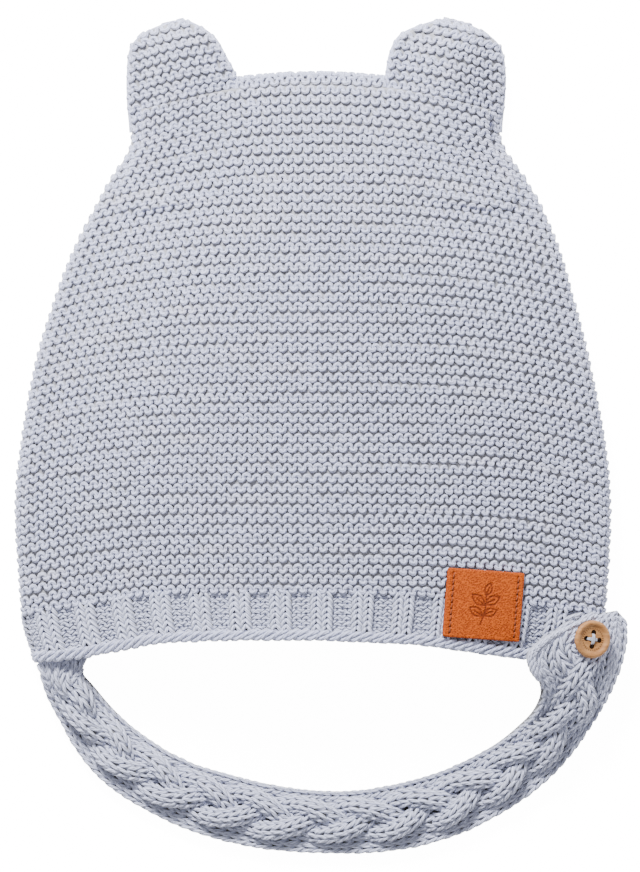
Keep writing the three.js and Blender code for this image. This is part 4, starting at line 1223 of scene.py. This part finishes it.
wood = Finish("button_wood")
stretch = wood.nodes.new("ShaderNodeMapping")
stretch.inputs["Scale"].default_value = (260, 1500, 700)
stretch.inputs["Rotation"].default_value = (0.1, 0.2, 0.6)
wood.links.new(wood.nodes.new("ShaderNodeTexCoord").outputs["Object"], stretch.inputs["Vector"])
grain = wood.noise(1.0, 6, stretch.outputs[0], 0.6)
wood.paint(wood.ramp(grain, (0.3, (0.27, 0.11, 0.034)), (0.7, (0.47, 0.235, 0.09))))
wood.relief(grain, 0.25, 0.00006)
wood.gloss(0.55, 0.28)
button_made = plain(rings, grid_faces(len(button_profile), TURNS, True)[:, ::-1])
button = piece("button_wood", button_made, wood.material, "button")
print("button", 2 * BUTTON_R, "mm across")

# %%
# The four holes
hole_turns = [HOLES_TURN + i * math.pi / 2 for i in range(4)]
bpy.ops.object.select_all(action="DESELECT")
for a in hole_turns:
    out = HOLES_OUT * 0.001
    bpy.ops.mesh.primitive_cylinder_add(vertices=28, radius=HOLE_R * 0.001, depth=0.01,
                                        location=(out * math.cos(a), out * math.sin(a), 0))
    bpy.context.object.name = "drill"
for obj in bpy.context.scene.objects:
    obj.select_set(obj.name.startswith("drill"))
bpy.ops.object.join()
drill = bpy.context.object
cut = button.modifiers.new("holes", "BOOLEAN")
cut.operation = "DIFFERENCE"
cut.solver = "EXACT"
cut.object = drill
bpy.context.view_layer.update()
done = bpy.data.meshes.new_from_object(button.evaluated_get(bpy.context.evaluated_depsgraph_get()))
button.modifiers.clear()
button.data = done
bpy.data.objects.remove(drill)
place = Matrix(button_frame)
place.translation = place.translation * 0.001
button.data.transform(place)
for polygon in button.data.polygons:
    polygon.use_smooth = True
button.data.set_sharp_from_angle(angle=math.radians(50))
print("button", len(button.data.polygons), "faces with its holes")

# %%
# Ticks, and dark plugs of painted shade in the holes
TICKS = 30
ticks_and_hole_shade = []
for i in range(TICKS):
    a = 2 * math.pi * i / TICKS
    r = np.array([3.3, 3.55, 3.8])
    path = np.column_stack([r * math.cos(a), r * math.sin(a), np.full(3, dish + 0.02)])
    ticks_and_hole_shade.append(tubes(placed(path)[None], np.array([0.0, 0.0, 1.0]), 0.13, 4))
BURNT_TICKS_AND_HOLE_SHADE = (0.12, 0.045, 0.015)
burnt_ticks_and_hole_shade = yarn_material("burnt_marks_and_painted_hole_shade", BURNT_TICKS_AND_HOLE_SHADE, (0.08, 0.03, 0.01), BURNT_TICKS_AND_HOLE_SHADE, 1, 9, 0.01)
# painted shade: a dark plug fills the bottom of each hole
for a in hole_turns:
    path = np.array([(HOLES_OUT * math.cos(a), HOLES_OUT * math.sin(a), z) for z in (0.1, 0.3, 0.55)])
    bottom = [[HOLE_R - 0.02, HOLE_R - 0.02, 0.02]]
    ticks_and_hole_shade.append(tubes(placed(path)[None], np.array([1.0, 0.0, 0.0]), bottom, 16))
piece("button_ticks_and_hole_shade", merge(ticks_and_hole_shade), burnt_ticks_and_hole_shade, "button")
print(TICKS, "ticks round the dish")

# %%
# The crossed thread
# its low colour is painted shade on the underside of the thread
grey_thread = yarn_material("grey_thread", (0.5, 0.52, 0.62), (0.3, 0.32, 0.4), (0.52, 0.5, 0.5), 3, 1.4,
                            0.06, (0.15, 0.15, 0.17))
REACH = np.array([-1.68, -1.64, -1.44, -0.9, 0, 0.9, 1.44, 1.64, 1.68])
OVER_DISH = np.array([0, -0.3, 0.12, 0.34, 0.42, 0.34, 0.12, -0.3, 0])
SPREAD = np.array([0.7, 0.8, 1, 1.3, 1.5, 1.3, 1, 0.8, 0.7])
high = dish + OVER_DISH
high[[0, -1]] = 0.2  # the ends go down into the holes
thread_parts = []
for turn, raised in ((HOLES_TURN, 0.0), (HOLES_TURN + math.pi / 2, 0.2)):
    c, s = math.cos(turn), math.sin(turn)
    for offset in (-0.26, 0.0, 0.26):
        side = offset * SPREAD
        path = np.column_stack([REACH * c - side * s, REACH * s + side * c, high + raised])
        thread_parts.append(tubes(placed(path)[None], np.array([0.12, 0.17, 0.98]), 0.21, 7))
piece("button_thread_cross", merge(thread_parts), grey_thread, "button_thread")
print(len(thread_parts), "threads")

# %% [markdown]
# The hat lies on a plain white table under even studio light: a bright dome of sky, and a large
# soft lamp from beyond the ears that lets the ridges cast small shadows. The table glows, so that
# it looks pure white, but only to the camera: it throws little light up. The camera looks straight
# down from far away.

# %%
# Table and light
bpy.ops.mesh.primitive_plane_add(size=6, location=(0, 0, -0.0002))
floor = bpy.context.object
floor.name = "table"
white = Finish("white_table")
white.shader.inputs["Base Color"].default_value = (0.95, 0.95, 0.95, 1)
white.shader.inputs["Roughness"].default_value = 0.9
white.shader.inputs["Emission Color"].default_value = (1, 1, 1, 1)
seen = white.nodes.new("ShaderNodeLightPath").outputs["Is Camera Ray"]
white.links.new(white.reckon("MULTIPLY_ADD", seen, 13.0, 1.5), white.shader.inputs["Emission Strength"])
floor.data.materials.append(white.material)
floor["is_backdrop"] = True

world = bpy.data.worlds.new("studio")
bpy.context.scene.world = world
world.use_nodes = True
sky = world.node_tree.nodes["Background"]
sky.inputs[0].default_value = (1, 1, 1, 1)
sky.inputs[1].default_value = 0.58

data = bpy.data.lights.new("key", "AREA")
data.size, data.energy = 0.35, 56
key = bpy.data.objects.new("key", data)
key.location = (-0.32, 0.95, 0.9)
key.rotation_euler = (-key.location).to_track_quat("-Z", "Y").to_euler()
bpy.context.scene.collection.objects.link(key)
key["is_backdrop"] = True
print("lamp", round(key.location.length, 2), "m away")

# %%
# Camera
FAR = 3.2
PICTURE_TALL = 0.2868  # height of the picture at the level of the side folds, in m
camera = bpy.data.objects.new("camera", bpy.data.cameras.new("camera"))
bpy.context.scene.collection.objects.link(camera)
camera.location = (0.0023, -0.0229, FAR)
camera.data.sensor_fit = "VERTICAL"
camera.data.sensor_height = 36
camera.data.lens = 36 * (FAR - 0.001 * SIDE_FOLD) / PICTURE_TALL
camera.data.clip_end = 10
bpy.context.scene.camera = camera
print("lens", round(camera.data.lens), "mm")

# %% [markdown]
# Last, the size of what was made is set beside the size of the solids.

# %%
# Sizes and finish
bpy.context.view_layer.update()
size_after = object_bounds()
for name, pair in (("before", size_before), ("after", size_after)):
    extent = [round(1000 * (high - low), 1) for low, high in zip(*pair)]
    print(name, extent, "mm, from", [round(1000 * v, 1) for v in pair[0]])
print("triangles", triangles, sum(triangles.values()))
